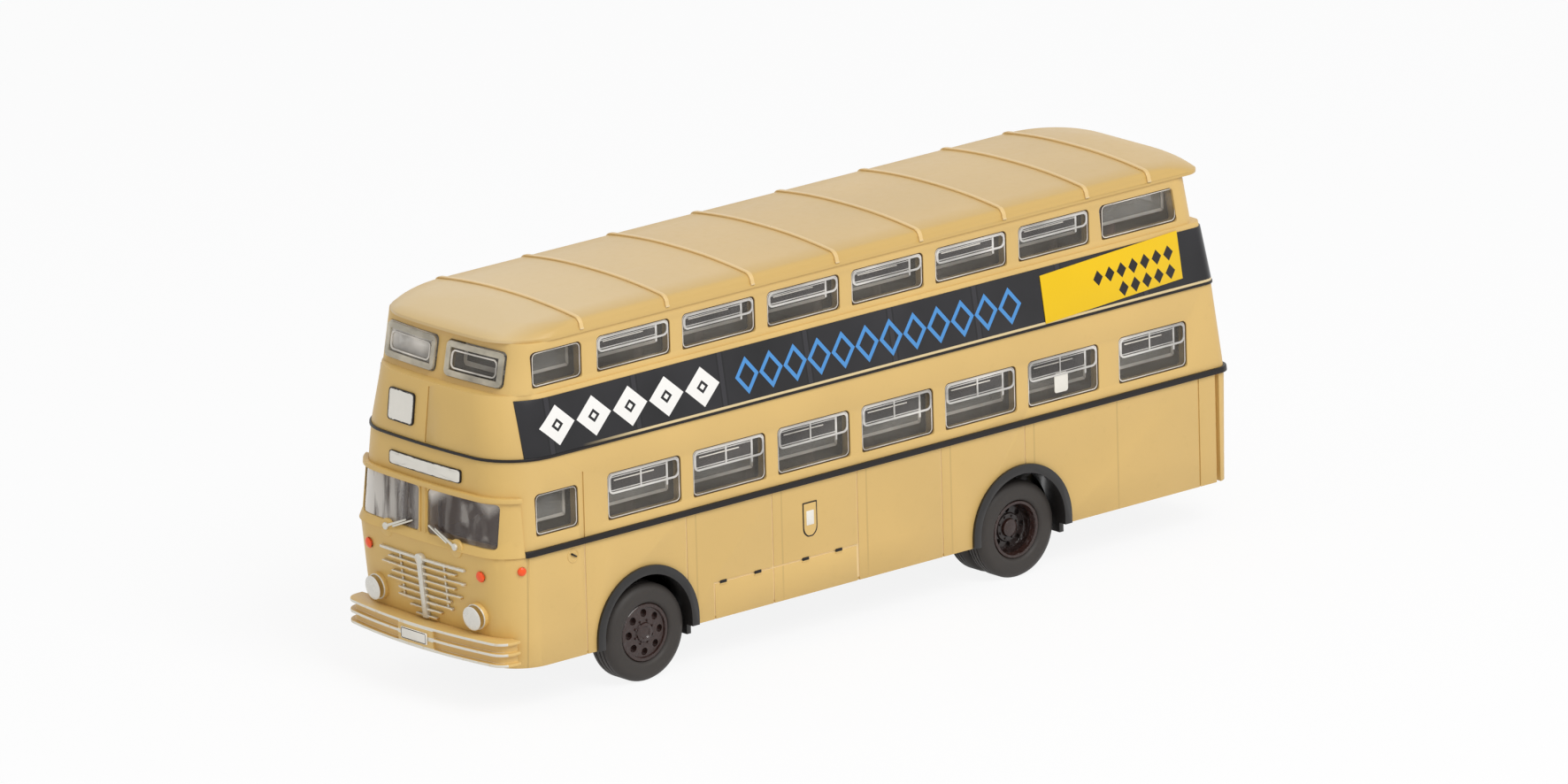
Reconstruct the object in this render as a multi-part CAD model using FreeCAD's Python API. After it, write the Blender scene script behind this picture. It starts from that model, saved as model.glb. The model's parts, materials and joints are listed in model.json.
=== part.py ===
import FreeCAD, Part
import math
import os
from FreeCAD import Vector

# A double decker bus as a 1:160 collector's model, in millimetres.
# The origin is on the ground under the middle of the bus: +X forward, +Y the bus's left, +Z up.
# A station is a distance back from the front face's foremost point.

# Body shell
body_length = 61.7
body_half_width = 7.8
wall = 0.8
skirt_height = 3.0
belt_height = 10.3
deck_height = 16.6
ledge_height = 20.5
drip_height = 23.75
front_bow = 0.5
front_corner = 2.6
deck_corner = 3.6
glass_band_corner = 1.8
tail_corner = 0.9
glass_band_tail_corner = 1.4
skirt_front_tuck = 0.75
sill_rise = 0.6
sill_front_set = 0.35
deck_front_set = 0.65
deck_tail_set = 1.0
ledge_front_set = 1.15
ledge_tail_set = 1.4
ledge_half_width = 7.15
glass_band_front_set = 1.95
glass_band_tail_set = 1.65
glass_band_half_width = 7.0
drip_front_set = 2.6
drip_tail_set = 2.3

# Roof
roof_rise = 1.28
roof_half_width = 7.12
roof_edge = 0.2
roof_edge_step = 0.1
roof_shoulder = 0.5
roof_camber = 0.38
roof_crown_half = 0.5
roof_front_set = 2.0
roof_front_run = 4.5
roof_front_power = 1.35
roof_front_corner = 3.6
roof_tail_set = 1.2
roof_tail_run = 3.3
roof_tail_power = 2.4
roof_tail_corner = 1.4
roof_tail_corner_growth = 4.2
roof_shoulder_steps = 6
roof_camber_steps = 6
roof_wall = 0.6
roof_hollow = 0.5
rib_width = 0.3
rib_proud = 0.12
rib_first = 7.8
rib_pitch = 7.09
rib_count = 7
rib_last = 55.7

# Side windows: stations of the front edge, then widths and heights
lower_first = 8.97
lower_pitch = 7.075
lower_width = 6.1
lower_sill = 11.3
lower_tall = 3.1
lower_tail_first = 52.15
lower_tail_width = 5.9
upper_first = 9.07
upper_pitch = 7.085
upper_width = 6.1
upper_sill = 20.85
upper_tall = 2.35
upper_tail_first = 51.65
upper_tail_width = 6.5
upper_tail_rake = 0.4
window_count = 6
window_corner = 0.36
window_low_corner = 0.16
screen_corner = 0.3
cab_first = 3.05
cab_width = 3.5
cab_sill = 11.5
cab_tall = 2.75
quarter_first = 3.75
quarter_width = 4.1

# Front and rear windows
screen_half_width = 6.6
screen_sill = 10.85
screen_tall = 2.9
screen_pillar = 0.8
screen_proud = 0.06
upper_front_half_width = 5.75
upper_front_pillar = 0.9
rear_window_width = 3.2
rear_window_sill = 11.6
rear_window_tall = 3.0
glass_inset = 0.12
upper_screen_proud = 0.06
glass_backing = 0.3
glass_overlap = 0.5
upper_overlap = 0.2
clearance = 0.03

# Windscreen surround and visor
surround_proud = 0.14
surround_sill = 10.35
surround_station = 2.1
surround_gap = 0.12
visor_proud = 0.34
visor_thick = 0.3

# Mouldings
belt_thick = 0.4
belt_proud = 0.22
line_thick = 0.18
line_proud = 0.12
band_top = 20.2
band_start = 2.6
band_proud = 0.08
advert_start = 45.9
advert_end = 57.8
advert_low = 16.65
advert_tall = 3.1
advert_skew = 0.6
advert_proud = 0.06

# Doors on the right side
door_front_first = 3.6
door_front_width = 3.8
door_rear_first = 51.3
door_rear_width = 7.2
door_low = 3.9
door_high = 14.6
door_recess = 0.25
door_thick = 0.5
door_leaf_gap = 0.15
door_rail = 0.45
door_kick = 1.4
step_well_inner = 4.8

# Wheels and axles
front_axle_station = 12.1
wheelbase = 31.6
wheel_radius = 3.2
front_tyre_width = 2.15
front_tyre_face = 7.55
rear_tyre_width = 1.7
rear_tyre_face = 7.25
tyre_gap = 0.25
rim_radius = 1.9
hub_recess = 0.2
hub_disc_radius = 1.6
hub_disc_deep = 0.18
hub_cap_radius = 0.62
dish_radius = 1.6
dish_boss_radius = 0.75
axle_radius = 0.6
bearing_clearance = 0.05
bearing_wall = 0.55
bearing_length = 1.6
bearing_half_track = 2.6
tyre_shoulder = 0.45
rear_dish_depth = 0.9
wheel_well_gap = 0.35

# Wheel arches
arch_radius = 4.0
arch_height = 3.55
arch_lead = 0.2
guard_thick = 0.4
guard_lip = 0.2
guard_proud = 0.2
guard_depth = 1.5
flap_thick = 0.35
flap_low = 2.35
flap_width = 1.1

# Chassis and floors
chassis_low = 3.4
chassis_thick = 1.0
channel_radius = 1.15
floor_thick = 0.6
upper_floor_height = 16.9
engine_station = 19.0
engine_length = 7.0
engine_width = 7.0
engine_deep = 0.9
tank_station = 34.5
tank_length = 4.6
tank_width = 4.4
tank_inner = 1.0
tank_deep = 0.7
post_radius = 1.8
pad_drop = 0.4
screw_hole_radius = 0.8
screw_hole_depth = 3.0
screw_station = 28.4
seat_pitch = 5.0
seat_count = 9
seat_first = 11.0
seat_width = 4.3
seat_base_tall = 2.2
seat_back_tall = 4.6
seat_deep = 2.2
seat_back_thick = 0.7
upper_seat_first = 7.0
upper_seat_back_tall = 4.2
aisle = 2.6
steering_station = 4.6
steering_offset = 4.0
steering_radius = 1.1
steering_rim = 0.16
steering_rise = 3.0
steering_rake = 0.42
column_radius = 0.25
spoke_radius = 0.12

# Front end
bumper_low = 3.45
bumper_tall = 1.6
bumper_proud = 0.7
bumper_bow = 0.75
bumper_half_width = 7.8
bumper_corner = 1.2
bumper_rail = 0.2
bumper_groove = 0.3
bumper_end_station = 1.5
plate_half_width = 1.25
plate_tall = 0.75
plate_thick = 0.12
plate_margin = 0.45
grille_high = 9.15
grille_low = 5.3
grille_count = 9
grille_half_wide = 4.1
grille_half_narrow = 1.0
grille_taper = 2.6
grille_short = 0.8
grille_bar = 0.17
grille_proud = 0.24
grille_spine = 0.4
grille_spine_proud = 0.36
grille_knob_radius = 0.36
grille_strut = 0.14
grille_strut_offset = 2.15
grille_strut_count = 7
headlamp_radius = 1.0
headlamp_height = 6.25
headlamp_offset = 4.85
headlamp_proud = 0.3
flasher_radius = 0.38
flasher_proud = 0.18
flasher_height = 9.0
flasher_offset = 5.5
side_flasher_height = 9.45
side_flasher_turn = math.radians(64)
sign_half_width = 3.5
sign_low = 14.62
sign_tall = 0.9
sign_thick = 0.15
route_inner = 1.2
route_outer = 3.85
route_low = 17.4
route_tall = 2.1
wiper_thick = 0.12
wiper_run = 2.6
wiper_rise = 1.15
wiper_pivot_y = 3.35
wiper_pivot_radius = 0.26
wiper_proud = 0.22
wiper_lean = 0.05

# Rear end
tail_lamp_radius = 0.45
tail_lamp_height = 6.0
tail_lamp_offset = 6.1
rear_bumper_half_width = 6.2
rear_bumper_low = 3.6
rear_bumper_tall = 1.0
rear_bumper_proud = 0.4
corner_groove_station = 60.4
corner_groove_width = 0.35
corner_groove_deep = 0.35
tail_step_station = 55.5
tail_step_length = 3.7
tail_step_inner = 4.2
tail_step_outer = 6.6
tail_step_low = 2.65

# Panel lines in the sides
panel_first = 15.3
panel_pitch = 7.15
panel_count = 5
panel_tail = 58.9
panel_line = 0.12
panel_line_deep = 0.08
cab_door_front = 2.3
cab_door_rear = 6.9
hatch_first = 17.5
hatch_last = 29.5
hatch_height = 5.3
crease_deep = 0.08

front_reach = bumper_proud
rear_reach = rear_bumper_proud
nose = (body_length + rear_reach + front_reach) / 2 - front_reach
rear_axle_station = front_axle_station + wheelbase
arch_stations = (front_axle_station - arch_lead, rear_axle_station - arch_lead)
sill_height = belt_height + sill_rise
floor_height = arch_height + arch_radius + 2 * clearance

os.makedirs("parts", exist_ok=True)


def at(station):
    """The x of a station."""
    return nose - station


def front_corner_place(front, half, corner, bow):
    """The centre of the bowed front's sweep, its radius, and the x and y of a front corner's centre."""
    sweep = (half * half + bow * bow) / (2 * bow)
    middle = front - sweep
    across = half - corner
    return middle, sweep, middle + math.sqrt((sweep - corner) ** 2 - across ** 2), across


def outline(z, front_set, tail_set, half, corner, grow=0.0, bow=front_bow, tail_corner=tail_corner):
    """A level outline of the body: bowed front, round corners, straight sides and tail."""
    front = at(front_set) + grow
    tail = at(body_length - tail_set) - grow
    half = half + grow
    corner = max(corner + grow, 0.1)
    tail_round = max(tail_corner + grow, 0.1)
    middle, sweep, reach, across = front_corner_place(front, half, corner, bow)
    lean = math.atan2(across, reach - middle)
    tip = Vector(middle + sweep * math.cos(lean), sweep * math.sin(lean), z)
    half_way = (lean + math.pi / 2) / 2
    on_corner = Vector(reach + corner * math.cos(half_way), across + corner * math.sin(half_way), z)
    side_front = Vector(reach, half, z)
    side_tail = Vector(tail + tail_round, half, z)
    cut = tail_round * (1 - math.sqrt(0.5))
    on_tail = Vector(tail + cut, half - cut, z)
    tail_end = Vector(tail, half - tail_round, z)

    def other(point):
        return Vector(point.x, -point.y, point.z)

    edges = [
        Part.Arc(other(tip), Vector(front, 0, z), tip).toShape(),
        Part.Arc(tip, on_corner, side_front).toShape(),
        Part.LineSegment(side_front, side_tail).toShape(),
        Part.Arc(side_tail, on_tail, tail_end).toShape(),
        Part.LineSegment(tail_end, other(tail_end)).toShape(),
        Part.Arc(other(tail_end), other(on_tail), other(side_tail)).toShape(),
        Part.LineSegment(other(side_tail), other(side_front)).toShape(),
        Part.Arc(other(side_front), other(on_corner), other(tip)).toShape(),
    ]
    return Part.Wire(edges)


def loft(wires):
    """A solid with straight flanks between level outlines."""
    return Part.makeLoft(wires, True, True)


def box(x0, x1, y0, y1, z0, z1):
    low = Vector(min(x0, x1), min(y0, y1), min(z0, z1))
    return Part.makeBox(abs(x1 - x0), abs(y1 - y0), abs(z1 - z0), low)


def joined(shapes):
    """One shape of several that touch."""
    first, rest = shapes[0], shapes[1:]
    return first.fuse(rest).removeSplitter() if rest else first


def prism(points, along):
    """A solid over a closed outline of points."""
    wire = Part.makePolygon(points + [points[0]])
    return Part.Face(wire).extrude(along)


def rounded_window(front, width, low, tall, y0, y1, grow=0.0, rake=0.0):
    """A rounded window through a side wall, between y0 and y1."""
    a, b = at(front) + grow, at(front + width) - grow
    z0, z1 = low - grow, low + tall + grow
    points = [
        Vector(a, y0, z0),
        Vector(b, y0, z0),
        Vector(b + rake, y0, z1),
        Vector(a + rake * 0.6, y0, z1),
    ]
    solid = prism(points, Vector(0, y1 - y0, 0))
    across = [e for e in solid.Edges if abs(e.Vertexes[0].Y - e.Vertexes[-1].Y) > abs(y1 - y0) / 2]
    middle = (z0 + z1) / 2
    high = [e for e in across if e.Vertexes[0].Z > middle]
    solid = solid.makeFillet(max(window_corner + grow, 0.05), high)
    low_edges = [
        e for e in solid.Edges
        if abs(e.Vertexes[0].Y - e.Vertexes[-1].Y) > abs(y1 - y0) / 2
        and abs(e.Vertexes[0].Z - z0) < 0.001 and abs(e.Vertexes[-1].Z - z0) < 0.001
    ]
    return solid.makeFillet(max(window_low_corner + grow, 0.05), low_edges)


def rounded_face_window(y0, y1, low, tall, x0, x1, grow=0.0, corner=window_corner):
    """A rounded window through the front or the rear, between x0 and x1."""
    solid = box(x0, x1, y0 - grow, y1 + grow, low - grow, low + tall + grow)
    level = [e for e in solid.Edges if abs(e.Vertexes[0].X - e.Vertexes[-1].X) > abs(x1 - x0) / 2]
    return solid.makeFillet(max(corner + grow, 0.05), level)


def disc(x, y, z, radius, length, axis):
    return Part.makeCylinder(radius, length, Vector(x, y, z), axis)


def save(name, shape):
    shape.exportStep(os.path.join("parts", name + ".step"))


# Body skins
def lower_skin(grow=0.0, low=skirt_height, high=deck_height):
    """The lower deck's outer form, grown or shrunk, between two heights."""
    levels = [
        (skirt_height, skirt_front_tuck, 0.15, body_half_width, front_corner),
        (belt_height, 0.0, 0.0, body_half_width, front_corner),
        (sill_height, sill_front_set, deck_tail_set * sill_rise / (deck_height - belt_height),
         body_half_width, front_corner),
        (deck_height, deck_front_set, deck_tail_set, body_half_width, deck_corner),
    ]
    solid = loft([outline(z, f, t, h, c, grow) for z, f, t, h, c in levels])
    if low > skirt_height or high < deck_height:
        solid = solid.common(slab(low, high))
    return solid


def slab(low, high):
    """Everything between two heights."""
    return box(at(-10), at(body_length + 10), -20, 20, low, high)


def band_skin(grow=0.0):
    """The upper deck's outer form from the deck line to the ledge."""
    return loft([
        outline(deck_height, deck_front_set, deck_tail_set, body_half_width, deck_corner, grow),
        outline(ledge_height, ledge_front_set, ledge_tail_set, ledge_half_width, deck_corner, grow),
    ])


def glass_band_skin(grow=0.0):
    """The upper deck's outer form from the ledge to the roof."""
    return loft([
        outline(ledge_height, glass_band_front_set, glass_band_tail_set, glass_band_half_width,
                glass_band_corner, grow, front_bow, glass_band_tail_corner),
        outline(drip_height, drip_front_set, drip_tail_set, glass_band_half_width,
                glass_band_corner, grow, front_bow, glass_band_tail_corner),
    ])


def side_windows(first, pitch, width, sill, tall, y0, y1, grow=0.0):
    return [
        rounded_window(first + i * pitch, width, sill, tall, y0, y1, grow)
        for i in range(window_count)
    ]


def lower_openings(side, grow=0.0):
    """The lower deck's side windows: side is 1 for the left and -1 for the right."""
    y0, y1 = side * (body_half_width - 2 * wall), side * (body_half_width + wall)
    cuts = side_windows(lower_first, lower_pitch, lower_width, lower_sill, lower_tall, y0, y1, grow)
    if side > 0:
        cuts.append(rounded_window(lower_tail_first, lower_tail_width, lower_sill, lower_tall,
                                   y0, y1, grow))
        cuts.append(rounded_window(cab_first, cab_width, cab_sill, cab_tall, y0, y1, grow))
    return cuts


def upper_openings(side, grow=0.0):
    y0, y1 = side * (glass_band_half_width - 2 * wall), side * (glass_band_half_width + wall)
    cuts = side_windows(upper_first, upper_pitch, upper_width, upper_sill, upper_tall, y0, y1, grow)
    cuts.append(rounded_window(upper_tail_first, upper_tail_width, upper_sill, upper_tall,
                               y0, y1, grow, upper_tail_rake))
    cuts.append(rounded_window(quarter_first, quarter_width, upper_sill, upper_tall, y0, y1, grow))
    return cuts


def front_openings(grow=0.0):
    """The two windscreen panes' openings."""
    x0, x1 = at(5 * wall), at(-1)
    inner = screen_pillar / 2
    return [
        rounded_face_window(inner, screen_half_width, screen_sill, screen_tall, x0, x1, grow,
                            screen_corner),
        rounded_face_window(-screen_half_width, -inner, screen_sill, screen_tall, x0, x1, grow,
                            screen_corner),
    ]


def upper_front_openings(grow=0.0):
    x0, x1 = at(drip_front_set + 3 * wall), at(-1)
    inner = upper_front_pillar / 2
    outer = upper_front_half_width
    return [
        rounded_face_window(inner, outer, upper_sill, upper_tall, x0, x1, grow),
        rounded_face_window(-outer, -inner, upper_sill, upper_tall, x0, x1, grow),
    ]


def tail_openings(sill, tall, half, grow=0.0):
    """Two windows side by side in the rear wall."""
    x0, x1 = at(body_length - deck_tail_set - 3 * wall), at(body_length + 2)
    gap = screen_pillar / 2
    return [
        rounded_face_window(gap, gap + half, sill, tall, x0, x1, grow),
        rounded_face_window(-gap - half, -gap, sill, tall, x0, x1, grow),
    ]


def door_box(first, width, grow=0.0):
    """A door's opening in the right side."""
    return box(at(first) + grow, at(first + width) - grow, -body_half_width - 1,
               -body_half_width + 2 * wall, door_low - grow, door_high + grow)


def arch_cut(station, radius, depth):
    """The round of a wheel arch through both sides."""
    bar = Part.makeCylinder(radius, 2 * depth, Vector(at(station), -depth, arch_height),
                            Vector(0, 1, 0))
    below = box(at(station) - radius, at(station) + radius, -depth, depth, 0, arch_height)
    return bar.fuse(below)


# Sub-parts
def make_lower_body():
    shell = lower_skin().cut(lower_skin(-wall))
    cuts = lower_openings(1) + lower_openings(-1) + front_openings()
    cuts += tail_openings(rear_window_sill, rear_window_tall, rear_window_width)
    cuts += [door_box(door_front_first, door_front_width), door_box(door_rear_first, door_rear_width)]
    for station in arch_stations:
        cuts.append(arch_cut(station, arch_radius, body_half_width + 1))
    for side in (1, -1):
        face = side * body_half_width
        cuts.append(box(at(corner_groove_station), at(corner_groove_station + corner_groove_width),
                        face - side * corner_groove_deep, face + side, skirt_height, belt_height))
    return shell.cut(cuts + panel_lines())


def panel_lines():
    """Shallow grooves in the sides: panel joints, the driver's door and the low hatches."""
    def groove(first, last, low, high, side):
        face = side * body_half_width
        return box(at(first), at(last), face - side * panel_line_deep, face + side, low, high)

    joints = [panel_first + i * panel_pitch for i in range(panel_count)] + [panel_tail]
    lines = []
    for side in (1, -1):
        for station in joints:
            lines.append(groove(station, station + panel_line, skirt_height, belt_height, side))
    cab_high = cab_sill + cab_tall + 2 * window_corner
    lines.append(groove(cab_door_rear, cab_door_rear + panel_line, skirt_height, cab_high, 1))
    lines.append(groove(cab_door_front, cab_door_front + panel_line, skirt_height, belt_height, 1))
    lines.append(groove(hatch_first, hatch_last + panel_line, hatch_height,
                        hatch_height + panel_line, 1))
    for station in (hatch_first, hatch_last):
        lines.append(groove(station, station + panel_line, skirt_height, hatch_height, 1))
    return lines


def make_upper_body():
    """The upper deck's shell: the leaning band zone, the ledge over it and the window zone."""
    throat = Part.Face(outline(ledge_height - wall, glass_band_front_set, glass_band_tail_set,
                               glass_band_half_width, glass_band_corner, -wall, front_bow,
                               glass_band_tail_corner)).extrude(Vector(0, 0, wall))
    hollow = [band_skin(-wall).common(slab(deck_height, ledge_height - wall)), throat,
              glass_band_skin(-wall)]
    shell = joined([band_skin(), glass_band_skin()]).cut(joined(hollow))
    cuts = upper_openings(1) + upper_openings(-1) + upper_front_openings()
    cuts += tail_openings(upper_sill, upper_tall, rear_window_width)
    rind = band_skin(1).cut(band_skin(-crease_deep))
    cuts.append(rind.common(box(at(-3), at(5), -panel_line / 2, panel_line / 2,
                                deck_height, band_top)))
    return shell.cut(cuts)


def roof_levels():
    """The roof's levels from its edge to the crown: height, half width, front set, tail set, corners."""
    edge = drip_height + roof_edge
    crown = drip_height + roof_rise
    top = crown - roof_camber
    side = roof_half_width - roof_edge_step
    profile = [(drip_height, roof_half_width), (edge, roof_half_width)]
    for i in range(roof_shoulder_steps + 1):
        turn = math.pi / 2 * i / (roof_shoulder_steps + 0.5)
        profile.append((top - roof_shoulder * (1 - math.sin(turn)),
                        side - roof_shoulder * (1 - math.cos(turn))))
    last_z, last_half = profile[-1]
    for i in range(1, roof_camber_steps + 1):
        half = last_half + (roof_crown_half - last_half) * i / roof_camber_steps
        share = (half - roof_crown_half) / (last_half - roof_crown_half)
        profile.append((crown - (crown - last_z) * share ** 2, half))
    levels = []
    for z, half in profile:
        rise = min(max((z - edge) / (crown - edge), 0.0), 1.0)
        front_draw = 1 - (1 - rise ** roof_front_power) ** (1 / roof_front_power)
        tail_draw = 1 - (1 - rise ** roof_tail_power) ** (1 / roof_tail_power)
        corner = min(roof_front_corner, half * 0.9)
        tail_round = min(roof_tail_corner + roof_tail_corner_growth * rise, half * 0.9)
        levels.append((z, half, roof_front_set + roof_front_run * front_draw,
                       roof_tail_set + roof_tail_run * tail_draw, corner, tail_round))
    return levels


def roof_bow(half):
    return min(front_bow, half * 0.1)


def make_roof():
    """The domed roof, hollow below."""
    wires = [
        outline(z, front, tail, half, corner, 0, roof_bow(half), tail_round)
        for z, half, front, tail, corner, tail_round in roof_levels()
    ]
    hollow = [
        outline(drip_height + rise, roof_front_set + rise, roof_tail_set + rise,
                roof_half_width, roof_front_corner, -roof_wall - rise)
        for rise in (0, roof_hollow)
    ]
    return loft(wires).cut(loft(hollow))


def half_at(level, station):
    """How far out a roof level reaches at a station, or None past its ends."""
    _, half, front, tail, corner, tail_round = level
    _, _, reach, across = front_corner_place(at(front), half, corner, roof_bow(half))
    ahead = at(station) - reach
    behind = station - (body_length - tail - tail_round)
    if ahead > corner or behind > tail_round:
        return None
    if ahead > 0:
        return across + math.sqrt(corner ** 2 - ahead ** 2)
    if behind > 0:
        return half - tail_round + math.sqrt(tail_round ** 2 - behind ** 2)
    return half


def make_roof_ribs():
    """Thin raised ribs across the roof, seated on it over their whole width."""
    ribs = []
    for station in [rib_first + i * rib_pitch for i in range(rib_count)] + [rib_last]:
        inner = []
        for level in roof_levels()[1:]:
            reaches = [half_at(level, station + d * rib_width / 2) for d in (-1, 1)]
            if None in reaches:
                break
            inner.append((max(reaches), level[0]))
        outer = []
        for i, (y, z) in enumerate(inner):
            y0, z0 = inner[max(i - 1, 0)]
            y1, z1 = inner[min(i + 1, len(inner) - 1)]
            long = math.hypot(z1 - z0, y0 - y1)
            outer.append((y + rib_proud * (z1 - z0) / long, z + rib_proud * (y0 - y1) / long))
        x = at(station + rib_width / 2)
        for side in (1, -1):
            points = [Vector(x, side * y, z) for y, z in outer]
            points += [Vector(x, 0, outer[-1][1]), Vector(x, 0, inner[-1][1])]
            points += [Vector(x, side * y, z) for y, z in reversed(inner)]
            ribs.append(prism(points, Vector(rib_width, 0, 0)))
    pairs = [ribs[i].fuse(ribs[i + 1]).removeSplitter() for i in range(0, len(ribs), 2)]
    return Part.makeCompound(pairs)


def make_glazing(skin, openings, strip, low, high, proud=-glass_inset):
    """Panes that fill their openings, carried by a thin clear backing inside the wall."""
    inside = skin(-wall - clearance - glass_backing)
    backing = skin(-wall - clearance).cut(inside).common(slab(low, high))
    fill = skin(proud).cut(inside)
    panes = [fill.common(hole) for hole in openings]
    return joined([backing] + panes).common(strip).removeSplitter()


def make_lower_glazing(side):
    """The lower deck's side strip. On the left it runs forward to the driver's window."""
    last = lower_first + (window_count - 1) * lower_pitch + lower_width
    y0, y1 = side * (body_half_width - 2 * wall), side * (body_half_width + wall)
    strip = box(at(lower_first - glass_overlap), at(last + glass_overlap), y0, y1, 0, 40)
    if side > 0:
        strip = box(at(cab_first - glass_overlap), at(lower_tail_first + lower_tail_width
                                                      + glass_overlap), y0, y1, 0, 40)
    return make_glazing(lower_skin, lower_openings(side, -clearance), strip,
                        lower_sill - glass_overlap, lower_sill + lower_tall + glass_overlap)


def make_upper_glazing(side):
    y0, y1 = side * (glass_band_half_width - 2 * wall), side * (glass_band_half_width + wall)
    strip = box(at(quarter_first), at(upper_tail_first + upper_tail_width + 2 * clearance), y0, y1,
                0, 40)
    return make_glazing(glass_band_skin, upper_openings(side, -clearance), strip,
                        upper_sill - upper_overlap, upper_sill + upper_tall + upper_overlap)


def make_windscreen():
    strip = box(at(-2), at(surround_station), -screen_half_width, screen_half_width, 0, 40)
    return make_glazing(lower_skin, front_openings(-clearance), strip,
                        screen_sill - glass_overlap / 2, screen_sill + screen_tall + glass_overlap / 2,
                        screen_proud)


def make_upper_front_glazing():
    strip = box(at(-2), at(quarter_first - clearance), -upper_front_half_width,
                upper_front_half_width, 0, 40)
    return make_glazing(glass_band_skin, upper_front_openings(-clearance), strip,
                        upper_sill - upper_overlap, upper_sill + upper_tall + upper_overlap,
                        upper_screen_proud)


def make_rear_glazing():
    half = screen_pillar / 2 + rear_window_width + glass_overlap
    strip = box(at(body_length - 4), at(body_length + 2), -half, half, 0, 40)
    lower = make_glazing(lower_skin,
                         tail_openings(rear_window_sill, rear_window_tall,
                                       rear_window_width, -clearance),
                         strip, rear_window_sill - glass_overlap,
                         rear_window_sill + rear_window_tall + glass_overlap)
    upper = make_glazing(glass_band_skin,
                         tail_openings(upper_sill, upper_tall, rear_window_width, -clearance),
                         strip, upper_sill - upper_overlap, upper_sill + upper_tall + upper_overlap)
    return Part.makeCompound([lower, upper])


def make_surround():
    """The raised frame round both windscreens, with the visor ledge above it."""
    high = screen_sill + screen_tall + surround_gap
    zone = box(at(-3), at(surround_station), -20, 20, surround_sill, high)
    frame = lower_skin(surround_proud).cut(lower_skin()).common(zone)
    holes = front_openings(0.0)
    visor_zone = box(at(-3), at(surround_station), -20, 20, high, high + visor_thick)
    visor = lower_skin(visor_proud).cut(lower_skin()).common(visor_zone)
    return joined([frame.cut(holes), visor])


def make_belt():
    ring = lower_skin(belt_proud).cut(lower_skin())
    zone = box(at(surround_station), at(body_length + 2), -20, 20, belt_height,
               belt_height + belt_thick)
    doors = [door_box(door_front_first, door_front_width), door_box(door_rear_first, door_rear_width)]
    return ring.common(zone).cut(doors)


def make_deck_line():
    ring = lower_skin(line_proud).cut(lower_skin())
    return ring.common(slab(deck_height - line_thick, deck_height))


def make_band():
    """The dark band between the decks, along both sides and round the tail."""
    ring = band_skin(band_proud).cut(band_skin())
    zone = box(at(band_start), at(body_length + 2), -20, 20, deck_height, band_top)
    return ring.common(zone)


def make_advert():
    """The yellow panel on the rear end of the band, on each side. It rises towards the tail."""
    ring = band_skin(band_proud + advert_proud).cut(band_skin(band_proud))
    pieces = []
    for side in (1, -1):
        corners = [
            (advert_start, advert_low),
            (advert_end, advert_low + advert_skew),
            (advert_end, advert_low + advert_skew + advert_tall),
            (advert_start, advert_low + advert_tall),
        ]
        points = [Vector(at(station), side * 2, z) for station, z in corners]
        pieces.append(ring.common(prism(points, Vector(0, side * 20, 0))))
    return Part.makeCompound(pieces)


def make_door(first, width, leaves):
    """A closed folding door: leaves side by side in their opening, each with a tall window."""
    y1 = -body_half_width + door_recess
    y0 = y1 + door_thick
    a, b = first + clearance, first + width - clearance
    leaf = (b - a) / leaves
    panel = box(at(a), at(b), y0, y1, door_low + clearance, door_high - clearance)
    cuts = []
    for i in range(leaves):
        start = a + i * leaf
        cuts.append(box(at(start + door_rail), at(start + leaf - door_rail), y0 + 1, y1 - 1,
                        door_low + door_kick, door_high - door_rail - 0.4))
        if i:
            cuts.append(box(at(start - door_leaf_gap / 2), at(start + door_leaf_gap / 2),
                            y1 - 1, y1 + door_recess, 0, 40))
    return panel.cut(cuts)


def make_door_glazing():
    """Clear panes behind the doors' windows."""
    y1 = -body_half_width + door_recess + door_thick + clearance
    panes = []
    for first, width in ((door_front_first, door_front_width), (door_rear_first, door_rear_width)):
        panes.append(box(at(first + clearance), at(first + width - clearance), y1,
                         y1 + glass_backing, door_low + door_kick / 2, door_high - clearance))
    return Part.makeCompound(panes)


def make_guards():
    """The black rings round the wheel arches, each with its inner tunnel and a mud flap behind."""
    rings = []
    for station in arch_stations:
        for side in (1, -1):
            def tube(radius, inner, outer):
                y0, y1 = side * inner, side * outer
                return Part.makeCylinder(radius, abs(y1 - y0),
                                         Vector(at(station), min(y0, y1), arch_height),
                                         Vector(0, 1, 0))

            inner, outer = body_half_width - guard_depth, body_half_width + guard_proud
            tunnel = tube(arch_radius - clearance, inner, outer)
            lip = tube(arch_radius + guard_lip, body_half_width, outer)
            bore = tube(arch_radius - guard_thick, inner - 1, outer + 1)
            reach = arch_radius - clearance
            legs = box(at(station) - reach, at(station) + reach, side * inner, side * outer,
                       skirt_height, arch_height)
            lip_legs = box(at(station) - arch_radius - guard_lip,
                           at(station) + arch_radius + guard_lip, side * body_half_width,
                           side * outer, skirt_height, arch_height)
            opening = arch_radius - guard_thick
            gap = box(at(station) - opening, at(station) + opening, side * (inner - 1),
                      side * (outer + 1), 0, arch_height)
            ring = joined([tunnel, lip, legs, lip_legs]).cut([bore, gap])
            flap = box(at(station) - opening - flap_thick, at(station) - opening,
                       side * inner, side * (inner + flap_width), flap_low, arch_height)
            rings.append(joined([ring.common(slab(skirt_height, arch_height + 2 * arch_radius)),
                                 flap]))
    return Part.makeCompound(rings)


def tyre_ring(station, face, width, side):
    """A tyre with round shoulders, its outer face at y = side * face."""
    out = Vector(0, side, 0)
    inner = side * (face - width)
    tyre = disc(at(station), inner, wheel_radius, wheel_radius, width, out)
    rims = [e for e in tyre.Edges if e.Closed and len(e.Vertexes) == 1]
    tyre = tyre.makeFillet(tyre_shoulder, rims)
    return tyre.cut(disc(at(station), inner - side, wheel_radius, rim_radius, width + 2, out))


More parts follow.
